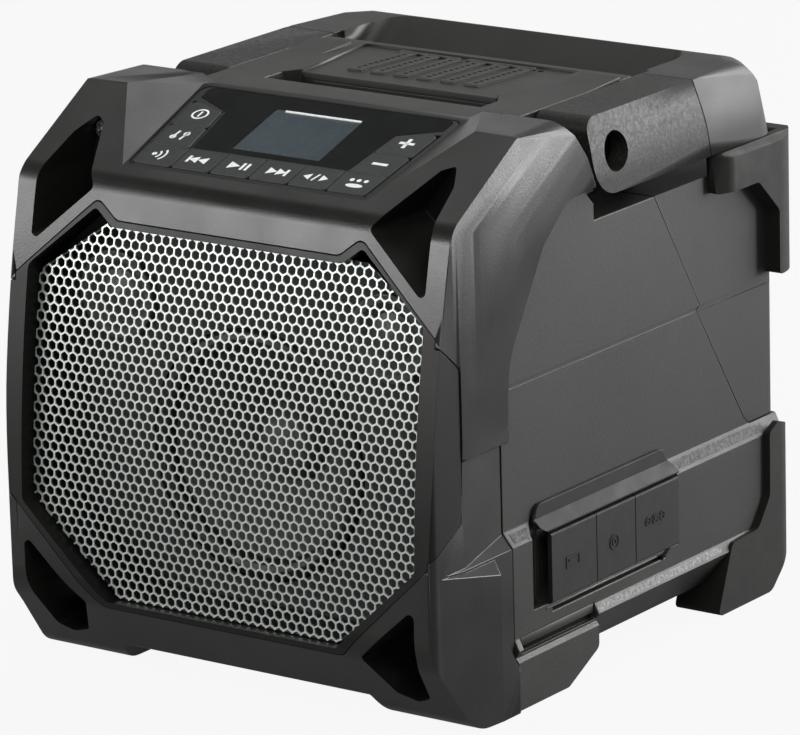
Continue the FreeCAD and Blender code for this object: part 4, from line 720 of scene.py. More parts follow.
def slice_mesh(bm: BMesh, point: Vector, facing: Vector, clear: bool = True,
               reach: float = TOUCH_M) -> list:
    """Cut a mesh along a plane.

    Args:
        bm: The mesh.
        point: A point of the plane.
        facing: The way that the plane faces.
        clear: Whether everything beyond the plane goes.
        reach: Corners nearer to the plane than this count as on it.

    Returns:
        The corners and edges along the cut.
    """
    return bmesh.ops.bisect_plane(bm, geom=everything(bm), dist=reach, plane_co=point,
                                  plane_no=facing, clear_outer=clear)["geom_cut"]


def thicken(bm: BMesh, way: Vector) -> None:
    """Give a mesh of flat faces a thickness.

    Args:
        bm: The mesh.
        way: Way from the faces to their moved copy.
    """
    copy = bmesh.ops.extrude_face_region(bm, geom=list(bm.faces))["geom"]
    bmesh.ops.translate(bm, verts=corners(copy), vec=way)
    bmesh.ops.recalc_face_normals(bm, faces=bm.faces)


def node_mesh(node: str) -> BMesh:
    """Copy a CAD node's mesh and join its loose triangles.

    Args:
        node: Name of the node.

    Returns:
        The copy, in metres.
    """
    bm = bmesh.new()
    bm.from_mesh(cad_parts[node].data)
    bmesh.ops.remove_doubles(bm, verts=bm.verts, dist=WELD_M)
    return bm


def to_metres(bm: BMesh) -> None:
    """Scale a mesh that was drawn in millimetres."""
    bmesh.ops.scale(bm, verts=bm.verts, vec=Vector((MM, MM, MM)))


@dataclass(frozen=True)
class CornerFillet:
    """Wide rounding between two planes through one point, the same all along or cone-shaped.

    With an apex the rounding has its radius at the point and shrinks to nothing at the apex.
    """

    point: Xyz
    first: Xyz
    second: Xyz
    radius_mm: float
    steps: int = 6
    apex: Xyz | None = None

    def cut(self, bm: BMesh) -> None:
        """Plane the corner down to the rounding, one narrow strip after another.

        Args:
            bm: Mesh in metres whose corner is cut; holes left by a cut are closed again.
        """
        first, second = Vector(self.first).normalized(), Vector(self.second).normalized()
        axis = Vector(self.point) - self.radius_mm / (1.0 + first.dot(second)) * (first + second)
        for step in range(self.steps):
            outward = first.slerp(second, (step + 0.5) / self.steps)
            touch = axis + self.radius_mm * outward
            facing = outward
            if self.apex:
                along = outward.cross(first.cross(second))
                facing = along.cross(touch - Vector(self.apex)).normalized()
                facing = facing if facing.dot(outward) > 0 else -facing
            cut = slice_mesh(bm, touch * MM, facing)
            rim = [e for e in cut if isinstance(e, bmesh.types.BMEdge) and e.is_boundary]
            bmesh.ops.holes_fill(bm, edges=rim, sides=0)


@dataclass
class RoundedShell:
    """A moulded part whose sharp edges get the small radius that a mould leaves.

    Edges sharper than sharp_deg get the radius edge_mm, in the fine boxes no more than
    fine_mm, and everywhere only what the faces beside them have room for. Faces within
    flat_deg of one plane become one face. The fillets are cut first, then the faces are
    parted along the planes of the supports, each a point and the way that it faces. Slopes
    in the boxes of matt_shaded_slopes get a rougher finish that is also painted darker as shade.
    """

    node: str
    finish: Finish
    slot: str = "case_plastic"
    body: str = "case"
    edge_mm: float = 0.5
    segments: int = 3
    sharp_deg: float = 24.0
    flat_deg: float = 0.6
    fine_mm: float = 0.35
    fine_boxes: tuple[Box, ...] = ()
    fillets: tuple[CornerFillet, ...] = ()
    supports: tuple[tuple[Xyz, Xyz], ...] = ()
    matt_shaded_slopes: tuple[Box, ...] = ()
    slope_rise: float = 0.25
    least_share: float = 0.04
    room_per_radius: float = 2.1
    across_share: float = 0.35
    sliver_mm: float = 0.001

    def room(self, edge: bmesh.types.BMEdge) -> float:
        """Distance from an edge to the next edges across the faces that meet it.

        Args:
            edge: An edge of the shell.

        Returns:
            The smallest distance, in metres. Edges that only carry on along it don't count.
        """
        first, second = (v.co for v in edge.verts)
        along = (second - first).normalized()
        smallest = 1.0
        others = {e for f in edge.link_faces for e in f.edges}
        others.update(e for v in edge.verts for e in v.link_edges)
        others.discard(edge)
        for point in (first, first.lerp(second, 0.5), second):
            for other in others:
                start, end = (v.co for v in other.verts)
                near, share = intersect_point_line(point, start, end)
                if share < 0.0 or share > 1.0:
                    near = start if share < 0.0 else end
                gap = near - point
                if gap.length < TOUCH_M:
                    far = end if (start - point).length < TOUCH_M else start
                    gap = far - point
                across = gap.cross(along).length
                if across > self.across_share * gap.length:
                    smallest = min(smallest, across)
        return smallest

    @staticmethod
    def inside(point: Vector, boxes: tuple[Box, ...]) -> bool:
        """Tell whether a point in millimetres lies in any of some boxes."""
        return any(all(low[axis] <= point[axis] <= high[axis] for axis in range(3))
                   for low, high in boxes)

    def radius(self, edge: bmesh.types.BMEdge) -> float:
        """Find the radius that an edge gets.

        Args:
            edge: An edge of the shell.

        Returns:
            The radius, in millimetres.
        """
        middle = (edge.verts[0].co + edge.verts[1].co) / (2 * MM)
        most = self.edge_mm
        if self.inside(middle, self.fine_boxes):
            most = min(most, self.fine_mm)
        return min(most, self.room(edge) / MM / self.room_per_radius)

    def runs(self, edges: list) -> list[list]:
        """Sort the sharp edges into runs from one corner of the shell to the next.

        Args:
            edges: All sharp edges.

        Returns:
            The runs, each of which gets one radius.
        """
        member = set(edges)
        found = []
        while member:
            run = [member.pop()]
            for edge in run:
                for vert in edge.verts:
                    linked = [e for e in vert.link_edges if not e.tag]
                    following = [e for e in linked if e in member]
                    if len(linked) == 2 and following:
                        member.remove(following[0])
                        run.append(following[0])
            found.append(run)
        return found

    def weigh_edges(self, bm: BMesh) -> None:
        """Give each run of sharp edges its share of the rounding, and keep the rest crisp.

        Args:
            bm: Mesh of the shell.
        """
        limit = math.radians(self.sharp_deg)
        weight = bm.edges.layers.float.new("bevel_weight_edge")
        sharp = [e for e in bm.edges if len(e.link_faces) == 2 and e.calc_face_angle(0.0) > limit]
        for edge in bm.edges:
            edge.smooth = True
            edge.tag = True
        for edge in sharp:
            edge.tag = False
        for run in self.runs(sharp):
            share = min(self.radius(edge) for edge in run) / self.edge_mm
            for edge in run:
                edge.smooth = share > self.least_share
                edge[weight] = share if edge.smooth else 0.0

    def build(self) -> None:
        """Copy the CAD node, cut its fillets and round its edges."""
        bm = node_mesh(self.node)
        bmesh.ops.dissolve_degenerate(bm, dist=self.sliver_mm * MM, edges=bm.edges)
        for fillet in self.fillets:
            fillet.cut(bm)
        for point, facing in self.supports:
            slice_mesh(bm, Vector(point) * MM, Vector(facing), clear=False)
        bmesh.ops.dissolve_limit(bm, angle_limit=math.radians(self.flat_deg), verts=bm.verts,
                                 edges=bm.edges, delimit={"NORMAL"})
        self.weigh_edges(bm)
        # Slopes in the matt boxes take the second slot, rougher and painted darker as shade.
        for face in bm.faces:
            middle = face.calc_center_median() / MM
            if abs(face.normal.z) > self.slope_rise and self.inside(middle, self.matt_shaded_slopes):
                face.material_index = 1
        piece = finish_piece(self.node + "_shell", bm, self.finish, self.body, None)
        if self.matt_shaded_slopes:
            piece.data.materials.append(Finish.SHADED_SLOPE.material)
        bevel = piece.modifiers.new("mould_radius", "BEVEL")
        bevel.limit_method = "WEIGHT"
        bevel.width = self.edge_mm * MM
        bevel.segments = self.segments
        bevel.use_clamp_overlap = False
        piece.modifiers.new("even_normals", "WEIGHTED_NORMAL").keep_sharp = True
        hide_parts(self.node)
        LOG.info("%s rounded by up to %.1f mm", self.node, self.edge_mm)


@dataclass
class CaseShells:
    """The moulded case with its bezel, covers, bumpers and feet."""

    bezel_edge_mm: float = 1.4
    bezel_flat_deg: float = 0.05
    shoulder_mm: float = 30.0
    shoulder_end_mm: float = 9.0
    case_edge_mm: float = 0.5
    cover_edge_mm: float = 0.6
    lid_edge_mm: float = 0.12
    screw_edge_mm: float = 0.6
    bumper_edge_mm: float = 2.4
    bumper_fine_mm: float = 0.8
    rear_band_mm: float = 4.0
    base_band_mm: float = 3.0
    far_mm: float = 300.0
    # Box of the skirt slope whose faces are painted darker as shade.
    skirt_slope: Box = ((-110.0, -105.0, 48.0), (110.0, -74.0, 68.0))
    bezel_planes: tuple[tuple[Xyz, Xyz], ...] = (
        ((0.0, 0.0, 205.0), (0.0, 0.0, 1.0)), ((0.0, -80.6, 193.9), (0.0, -0.518, 0.855)))

    def shoulders(self) -> tuple[CornerFillet, ...]:
        """Soft shoulders of the bezel, each with a cone where it runs out to the rear.

        Returns:
            The roundings of both sides.
        """
        made = []
        for side in (1, -1):
            made.append(CornerFillet((side * 97.0, -79.0, 191.3), (side * 0.917, -0.207, 0.341),
                                     (side * 1.0, 0.0, 0.0), self.shoulder_mm))
            made.append(CornerFillet((side * 97.0, -40.0, 207.5), (0.0, 0.0, 1.0),
                                     (side * 1.0, 0.0, 0.1), self.shoulder_end_mm,
                                     apex=(side * 94.5, -64.0, 207.2)))
        return tuple(made)

    def bumper(self, node: str) -> RoundedShell:
        """A rear bumper, with tighter edges at its rear and along its base.

        Args:
            node: Name of the bumper.

        Returns:
            Its shell.
        """
        low, high = (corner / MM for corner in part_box(node))
        far = self.far_mm
        rear = ((-far, high.y - self.rear_band_mm, -far), (far, far, far))
        base = ((-far, -far, -far), (far, far, low.z + self.base_band_mm))
        return RoundedShell(node, Finish.BUMPER, "bumper_rubber", fine_mm=self.bumper_fine_mm,
                            edge_mm=self.bumper_edge_mm, fine_boxes=(rear, base))

    def build(self) -> None:
        """Round every outer shell and dress what stays."""
        RoundedShell("front_bezel", Finish.BEZEL, "bezel_plastic", edge_mm=self.bezel_edge_mm,
                     flat_deg=self.bezel_flat_deg, fillets=self.shoulders(),
                     supports=self.bezel_planes, matt_shaded_slopes=(self.skirt_slope,)).build()
        RoundedShell("grille_frame", Finish.RING, "bezel_plastic",
                     edge_mm=self.case_edge_mm).build()
        for node, edge_mm in (("front_housing", self.case_edge_mm),
                              ("rear_housing", self.case_edge_mm),
                              ("top_cover", self.cover_edge_mm), ("top_lid", self.lid_edge_mm)):
            RoundedShell(node, Finish.CASE, edge_mm=edge_mm).build()
        for side in ("right", "left"):
            for level in ("upper", "lower"):
                self.bumper(f"bumper_{level}_{side}").build()
        RoundedShell("bezel_screws", Finish.SCREW, "screw_steel",
                     edge_mm=self.screw_edge_mm).build()
        dress(front_feet=Finish.BUMPER)


@dataclass
class GrainBand:
    """Coarse eroded strip moulded on a narrow slope, with pale grains painted as its sparkle in
    light from the side.
    """

    name: str
    node: str
    low: Xyz
    high: Xyz
    facing: Xyz
    finish: Finish = Finish.GRAIN_PAINTED_HIGHLIGHT
    margin_mm: float = 0.9
    height_mm: float = 0.08
    least_facing: float = 0.985
    flat_deg: float = 1.0

    def build(self) -> None:
        """Copy the slope's faces out of the CAD node, draw their edge in and lift them a little."""
        bm = node_mesh(self.node)
        facing = Vector(self.facing).normalized()
        for axis in range(3):
            for bound, side in ((self.low[axis], -1.0), (self.high[axis], 1.0)):
                plane, outward = Vector(), Vector()
                plane[axis] = bound * MM
                outward[axis] = side
                slice_mesh(bm, plane, outward)
        other = [f for f in bm.faces if f.normal.dot(facing) < self.least_facing]
        bmesh.ops.delete(bm, geom=other, context="FACES")
        bmesh.ops.dissolve_limit(bm, angle_limit=math.radians(self.flat_deg), verts=bm.verts,
                                 edges=bm.edges)
        rim = bmesh.ops.inset_region(bm, faces=list(bm.faces), thickness=self.margin_mm * MM,
                                     use_boundary=True, use_even_offset=True)["faces"]
        bmesh.ops.delete(bm, geom=rim, context="FACES")
        bmesh.ops.translate(bm, verts=bm.verts, vec=facing * (self.height_mm * MM))
        thicken(bm, facing * (-2 * self.height_mm * MM))
        finish_piece(self.name, bm, self.finish, smooth_deg=30.0)
        LOG.info("%s grained", self.name)


def add_box(bm: BMesh, low: Xyz, high: Xyz, edge_mm: float = 0.0) -> None:
    """Add a box between two corners in millimetres.

    Args:
        bm: Mesh in metres that takes the box.
        low: Lowest corner.
        high: Highest corner.
        edge_mm: Radius of its edges, or nought.
    """
    size = Vector(high) - Vector(low)
    middle = (Vector(high) + Vector(low)) / 2
    place = Matrix.Translation(middle * MM) @ Matrix.Diagonal((*(size * MM), 1.0))
    made = bmesh.ops.create_cube(bm, size=1.0, matrix=place)["verts"]
    if edge_mm:
        round_edges(bm, list({e for v in made for e in v.link_edges}), edge_mm * MM)


def round_edges(bm: BMesh, edges: list, radius: float) -> None:
    """Round edges by a radius in the mesh's own units."""
    bmesh.ops.bevel(bm, geom=edges, offset=radius, offset_type="OFFSET", affect="EDGES",
                    segments=2, profile=0.5, material=-1, clamp_overlap=True)


@dataclass
class CaseTrim:
    """Small features of the case: lid vents and ridges, the slot under the flaps, grained slopes,
    with shade painted black into vents, grooves and holes and highlights painted pale.

    All corners are in the speaker's millimetres, but the slot's end lies about its own middle.
    What the left side has too is given for the right side.
    """

    vent_count: int = 9
    vent_pitch_mm: float = 3.1
    vent_size_mm: float = 1.5
    vent_proud_mm: float = 0.03
    rib_count: int = 6
    rib_pitch_mm: float = 10.4
    rib_lean: float = 3.0 / 31.0
    rib_middle_mm: float = 24.0
    rib_top_mm: float = 203.8
    lid_top_mm: float = 203.0
    ridge_ends_mm: tuple = ((-30.0, -3.0), (0.5, 30.5))
    ridge_y_mm: Span = (40.2, 42.0)
    ridge_sunk_mm: float = 0.3
    ridge_rise_mm: float = 0.9
    ridge_edge_mm: float = 0.3
    pin_hole: Xyz = (33.2, 41.0, 203.0)
    pin_hole_mm: float = 1.0
    pin_hole_deep_mm: float = 0.2
    lip_edge_mm: float = 0.25
    gap_edge_mm: float = 0.1
    foot_edge_mm: float = 0.6
    slot_lip_highlight: Box = ((94.6, -52.2, 33.1), (95.35, 19.0, 33.8))
    slot_end_shade: Box = ((94.5, -3.4, -0.9), (95.15, 3.4, 0.9))
    slot_end_at: Xyz = (0.0, 25.2, 33.4)
    slot_lean_deg: float = 32.0
    foot_gap_shade: Box = ((93.0, -68.6, 20.8), (93.75, -22.2, 24.0))
    foot_ridge: Box = ((93.0, -68.7, 23.6), (94.95, -22.1, 27.2))
    band_x_mm: Span = (80.0, 99.0)
    skirt_bands: tuple = (("front", (-71.0, -52.5)), ("rear", (30.0, 96.0)))
    skirt_z_mm: Span = (60.0, 66.5)
    skirt_margin_mm: float = 1.3
    ledge_y_mm: Span = (-30.0, 62.0)
    ledge_z_mm: Span = (20.0, 30.0)

    def block(self, name: str, finish: Finish, box: Box, edge_mm: float, side: int = 1) -> None:
        """Make one small box a piece of its own.

        Args:
            name: Name of the piece.
            finish: Its finish.
            box: Its corners on the right side.
            edge_mm: Radius of its edges.
            side: 1 for the right side, -1 for its mirror.
        """
        (low_x, *low), (high_x, *high) = box
        low_x, high_x = sorted((side * low_x, side * high_x))
        bm = bmesh.new()
        add_box(bm, (low_x, *low), (high_x, *high), edge_mm)
        finish_piece(name, bm, finish, smooth_deg=35.0)

    def build_vents(self) -> None:
        """Black plates in the lid's ribs: painted shade in the mouths of the vents."""
        bm = bmesh.new()
        half = self.vent_size_mm / 2
        for rib in range(self.rib_count):
            for vent in range(self.vent_count):
                y = self.rib_middle_mm + (vent - (self.vent_count - 1) / 2) * self.vent_pitch_mm
                x = (rib - (self.rib_count - 1) / 2) * self.rib_pitch_mm
                x += self.rib_lean * (y - self.rib_middle_mm)
                add_box(bm, (x - half, y - half, self.lid_top_mm),
                        (x + half, y + half, self.rib_top_mm + self.vent_proud_mm))
        finish_piece("lid_vent_shades", bm, Finish.PAINTED_SHADE, smooth_deg=30.0)

    def build_lid_ridges(self) -> None:
        """Two low ridges along the lid's rear edge, and the small hole at their end as a black disc
        of painted shade.
        """
        bm = bmesh.new()
        front, rear = self.ridge_y_mm
        for start, end in self.ridge_ends_mm:
            add_box(bm, (start, front, self.lid_top_mm - self.ridge_sunk_mm),
                    (end, rear, self.lid_top_mm + self.ridge_rise_mm), self.ridge_edge_mm)
        finish_piece("lid_ridges", bm, Finish.CASE, smooth_deg=35.0)
        bm = bmesh.new()
        radius = self.pin_hole_mm * MM
        bmesh.ops.create_cone(bm, cap_ends=True, segments=16, radius1=radius, radius2=radius,
                              depth=self.pin_hole_deep_mm * MM,
                              matrix=Matrix.Translation(Vector(self.pin_hole) * MM))
        finish_piece("lid_pin_hole_shade", bm, Finish.PAINTED_SHADE, smooth_deg=35.0)

    def build_flap_slot(self) -> None:
        """Lip over the finger slot under the flaps, painted pale as a highlight, and the slot's end
        as a black block of painted shade.
        """
        self.block("slot_lip_highlight", Finish.PAINTED_HIGHLIGHT_LIP, self.slot_lip_highlight, self.lip_edge_mm)
        bm = bmesh.new()
        add_box(bm, *self.slot_end_shade, self.gap_edge_mm)
        place = Matrix.Translation(Vector(self.slot_end_at) * MM)
        lean = Matrix.Rotation(math.radians(self.slot_lean_deg), 4, "X")
        bmesh.ops.transform(bm, matrix=place @ lean, verts=bm.verts)
        finish_piece("slot_end_shade", bm, Finish.PAINTED_SHADE, smooth_deg=35.0)

    def build_feet(self) -> None:
        """Black plate of painted shade in the groove over each front foot, and the ridge over the
        groove.
        """
        for side, name in ((1, "right"), (-1, "left")):
            self.block(f"foot_gap_shade_{name}", Finish.PAINTED_SHADE, self.foot_gap_shade, self.gap_edge_mm, side)
            self.block(f"foot_ridge_{name}", Finish.CASE, self.foot_ridge, self.foot_edge_mm,
                       side)

    def build_bands(self) -> None:
        """Grained strips with painted highlights on the slope above the skirt and on the ledge
        below the flaps.
        """
        for side, name in ((1, "right"), (-1, "left")):
            near, far = sorted(side * x for x in self.band_x_mm)
            low, high = self.skirt_z_mm
            for place, (front, rear) in self.skirt_bands:
                GrainBand(f"skirt_band_{place}_{name}", "front_housing", (near, front, low),
                          (far, rear, high), (side * 0.78, 0.0, 0.62), Finish.GRAIN_PAINTED_HIGHLIGHT_DARK,
                          self.skirt_margin_mm).build()
            front, rear = self.ledge_y_mm
            low, high = self.ledge_z_mm
            GrainBand(f"ledge_band_{name}", "front_housing", (near, front, low),
                      (far, rear, high), (side * 0.89, 0.0, 0.45)).build()

    def build(self) -> None:
        """Build all of the trim."""
        self.build_vents()
        self.build_lid_ridges()
        self.build_flap_slot()
        self.build_feet()
        self.build_bands()
        LOG.info("case trim placed")


@dataclass
class Handle:
    """The folding handle: a crossbar, two arms and their pivot screws."""

    grip_edge_mm: float = 4.5
    grip_segments: int = 5
    grip_rear_mm: float = 12.0
    grip_side_mm: float = 9.0
    grip_corner_mm: float = 15.0
    grip_top_mm: float = 204.0
    arm_edge_mm: float = 2.2
    arm_segments: int = 4
    seam: Box = ((-120.0, 50.0, 170.0), (120.0, 62.0, 210.0))
    bores: Box = ((-120.0, -9.0, 181.0), (120.0, 6.5, 198.0))

    def fillets(self) -> tuple[CornerFillet, ...]:
        """Wide roundings along the crossbar's rear, at its corners and at its ends.

        Returns:
            The roundings of both sides.
        """
        up = (0.0, 0.0, 1.0)
        top = self.grip_top_mm
        made = [CornerFillet((0.0, 98.5, top), up, (0.0, 0.95, 0.32), self.grip_rear_mm)]
        for side in (1, -1):
            made.append(CornerFillet((side * 91.0, 92.0, top), up, (side * 0.972, 0.0, 0.235),
                                     self.grip_side_mm, apex=(side * 91.0, 55.0, top)))
            made.append(CornerFillet((side * 88.1, 96.2, top), up, (side * 0.69, 0.68, 0.24),
                                     self.grip_corner_mm))
        return tuple(made)

    def build(self) -> None:
        """Round the handle's parts, which swing with its body."""
        RoundedShell("handle_grip", Finish.GRIP, body="handle", edge_mm=self.grip_edge_mm,
                     segments=self.grip_segments, fine_boxes=(self.seam,),
                     fillets=self.fillets()).build()
        for side in ("right", "left"):
            RoundedShell(f"handle_arm_{side}", Finish.ARM, body="handle",
                         edge_mm=self.arm_edge_mm, segments=self.arm_segments,
                         fine_boxes=(self.seam, self.bores)).build()
        dress(handle_pivots=Finish.PIVOT)


@dataclass
class PerforatedSheet:
    """The steel grille: hexagonal holes in close rows, bowed with the front of the case.

    The corners are X, Z and radius of the sheet's right half, from the bottom up.
    """

    pitch_mm: float = 3.85
    hole_mm: float = 3.2
    hole_corner_mm: float = 0.22
    columns: int = 64
    row_pairs: int = 32
    margin_mm: float = 4.0
    thickness_mm: float = 0.6
    face_y_mm: float = -114.5
    bow_start_z_mm: float = 43.6
    bow_radius_mm: float = 580.5
    corners_mm: tuple[Xyz, ...] = (
        (49.0, 30.4, 5.0), (86.6, 63.6, 5.0), (86.6, 146.0, 5.0), (57.0, 166.4, 4.0))
    corner_steps: int = 3
    skirt_back_mm: float = -93.4
    skirt_gap_mm: float = 0.05
    weld_mm: float = 0.02
    cut_mm: float = 1e-5
    short_mm: float = 1e-4

    def outline(self) -> list[Vector]:
        """Corners of the sheet seen from in front, each rounded in a few steps.

        Returns:
            Points round the sheet in X and Z, in millimetres.
        """
        right = list(self.corners_mm)
        corners_round = right + [(-x, z, r) for x, z, r in reversed(right)]
        points = []
        for index, (x, z, radius) in enumerate(corners_round):
            here = Vector((x, z))
            before = Vector(corners_round[index - 1][:2]) - here
            after = Vector(corners_round[(index + 1) % len(corners_round)][:2]) - here
            reach = radius / math.tan(before.angle(after) / 2)
            start = here + before.normalized() * reach
            end = here + after.normalized() * reach
            for step in range(self.corner_steps + 1):
                t = step / self.corner_steps
                points.append(start.lerp(here, t).lerp(here.lerp(end, t), t))
        return points

    def bow(self, z_mm: float) -> float:
        """Y of the sheet's face at a height, in millimetres."""
        rise = max(0.0, z_mm - self.bow_start_z_mm)
        return self.face_y_mm + self.bow_radius_mm - math.sqrt(self.bow_radius_mm ** 2 - rise ** 2)

    def draw_cell(self, bm: BMesh) -> None:
        """Draw one hexagonal cell of the sheet with its hole, flat and in millimetres.

        Args:
            bm: Empty mesh that takes the cell.
        """
        ring = bmesh.ops.create_circle(bm, cap_ends=True, segments=6,
                                       radius=self.pitch_mm / math.sqrt(3),
                                       matrix=Matrix.Rotation(math.pi / 2, 4, "X"))["verts"]
        hole = ring[0].link_faces[0]
        bmesh.ops.inset_individual(bm, faces=[hole], use_even_offset=True,
                                   thickness=(self.pitch_mm - self.hole_mm) / 2)
        bmesh.ops.bevel(bm, geom=list(hole.verts), affect="VERTICES", segments=1, profile=0.5,
                        material=-1, offset=self.hole_corner_mm, offset_type="OFFSET")
        middle = [f for f in bm.faces if f.calc_center_median().length < self.short_mm]
        bmesh.ops.delete(bm, geom=middle, context="FACES_ONLY")

    def repeat(self, bm: BMesh, step: Vector, count: int) -> None:
        """Repeat all that is drawn so far, doubling it until it covers a count of steps.

        Args:
            bm: The mesh.
            step: Way from one to the next.
            count: Number of steps to cover.
        """
        made = 1
        while made < count:
            copy = bmesh.ops.duplicate(bm, geom=everything(bm))["geom"]
            bmesh.ops.translate(bm, verts=corners(copy), vec=step * made)
            made *= 2

    def draw_sheet(self, points: list[Vector]) -> BMesh:
        """Draw the flat sheet and cut it to its outline.

        Args:
            points: The outline.

        Returns:
            The sheet, in millimetres.
        """
        row = self.pitch_mm * math.sqrt(3) / 2
        low = min(p.y for p in points)
        wide = max(p.x for p in points)
        bm = bmesh.new()
        self.draw_cell(bm)
        self.repeat(bm, Vector((self.pitch_mm / 2, 0.0, row)), 2)
        self.repeat(bm, Vector((self.pitch_mm, 0.0, 0.0)), self.columns)
        right = Vector((2 * wide + 2 * self.margin_mm, 0.0, 0.0))
        slice_mesh(bm, right, Vector((1, 0, 0)), reach=self.cut_mm)
        self.repeat(bm, Vector((0.0, 0.0, 2 * row)), self.row_pairs)
        bmesh.ops.translate(bm, verts=bm.verts,
                            vec=Vector((-wide - self.margin_mm, 0.0, low - self.margin_mm)))
        for index, point in enumerate(points):
            along = points[(index + 1) % len(points)] - point
            if along.length > self.short_mm:
                outward = Vector((along.y, 0.0, -along.x)).normalized()
                slice_mesh(bm, Vector((point.x, 0.0, point.y)), outward, reach=self.cut_mm)
        bmesh.ops.remove_doubles(bm, verts=bm.verts, dist=self.weld_mm)
        bmesh.ops.dissolve_degenerate(bm, dist=self.weld_mm, edges=bm.edges)
        loose = [v for v in bm.verts if not v.link_faces]
        bmesh.ops.delete(bm, geom=loose, context="VERTS")
        return bm

    def build(self) -> None:
        """Bow the flat sheet, thicken it and turn its edge back."""
        points = self.outline()
        bm = self.draw_sheet(points)
        for vert in bm.verts:
            vert.co.y = self.bow(vert.co.z)
        bmesh.ops.recalc_face_normals(bm, faces=bm.faces)
        if sum(f.normal.y for f in bm.faces) > 0:
            bmesh.ops.reverse_faces(bm, faces=bm.faces)
        thicken(bm, Vector((0.0, self.thickness_mm, 0.0)))
        to_metres(bm)
        sheet = finish_piece("grille_sheet", bm, Finish.GRILLE, "case",
                             smooth_deg=50.0)
        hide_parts("grille")
        LOG.info("grille sheet has %d faces", len(sheet.data.polygons))
        self.build_skirt(points)

    def build_skirt(self, points: list[Vector]) -> None:
        """Edge of the sheet turned back to the baffle, as one thin band.

        Args:
            points: The sheet's outline.
        """
        bm = bmesh.new()
        inset = self.thickness_mm + self.skirt_gap_mm
        ring = [bm.verts.new((p.x, self.bow(p.y) + inset, p.y)) for p in points]
        for index, vert in enumerate(ring):
            bm.edges.new((ring[index - 1], vert))
        bmesh.ops.remove_doubles(bm, verts=bm.verts, dist=self.weld_mm)
        band = bmesh.ops.extrude_edge_only(bm, edges=list(bm.edges))["geom"]
        for vert in corners(band):
            vert.co.y = self.skirt_back_mm
        bmesh.ops.recalc_face_normals(bm, faces=bm.faces)
        bmesh.ops.solidify(bm, geom=list(bm.faces), thickness=self.thickness_mm)
        bmesh.ops.recalc_face_normals(bm, faces=bm.faces)
        to_metres(bm)
        finish_piece("grille_skirt", bm, Finish.BASKET, "case", smooth_deg=50.0)
        LOG.info("grille edge turned back")


@dataclass
class Loudspeakers:
    """The woofer and both tweeters behind the grille."""

    def build(self) -> None:
        """Dress the drivers and the baffle."""
        dress(speaker_baffle=Finish.INNER, woofer_basket=Finish.BASKET,
              woofer_magnet=Finish.MAGNET, woofer_cone=Finish.CONE,
              woofer_surround=Finish.SURROUND, tweeter_left=Finish.DOME,
              tweeter_right=Finish.DOME)


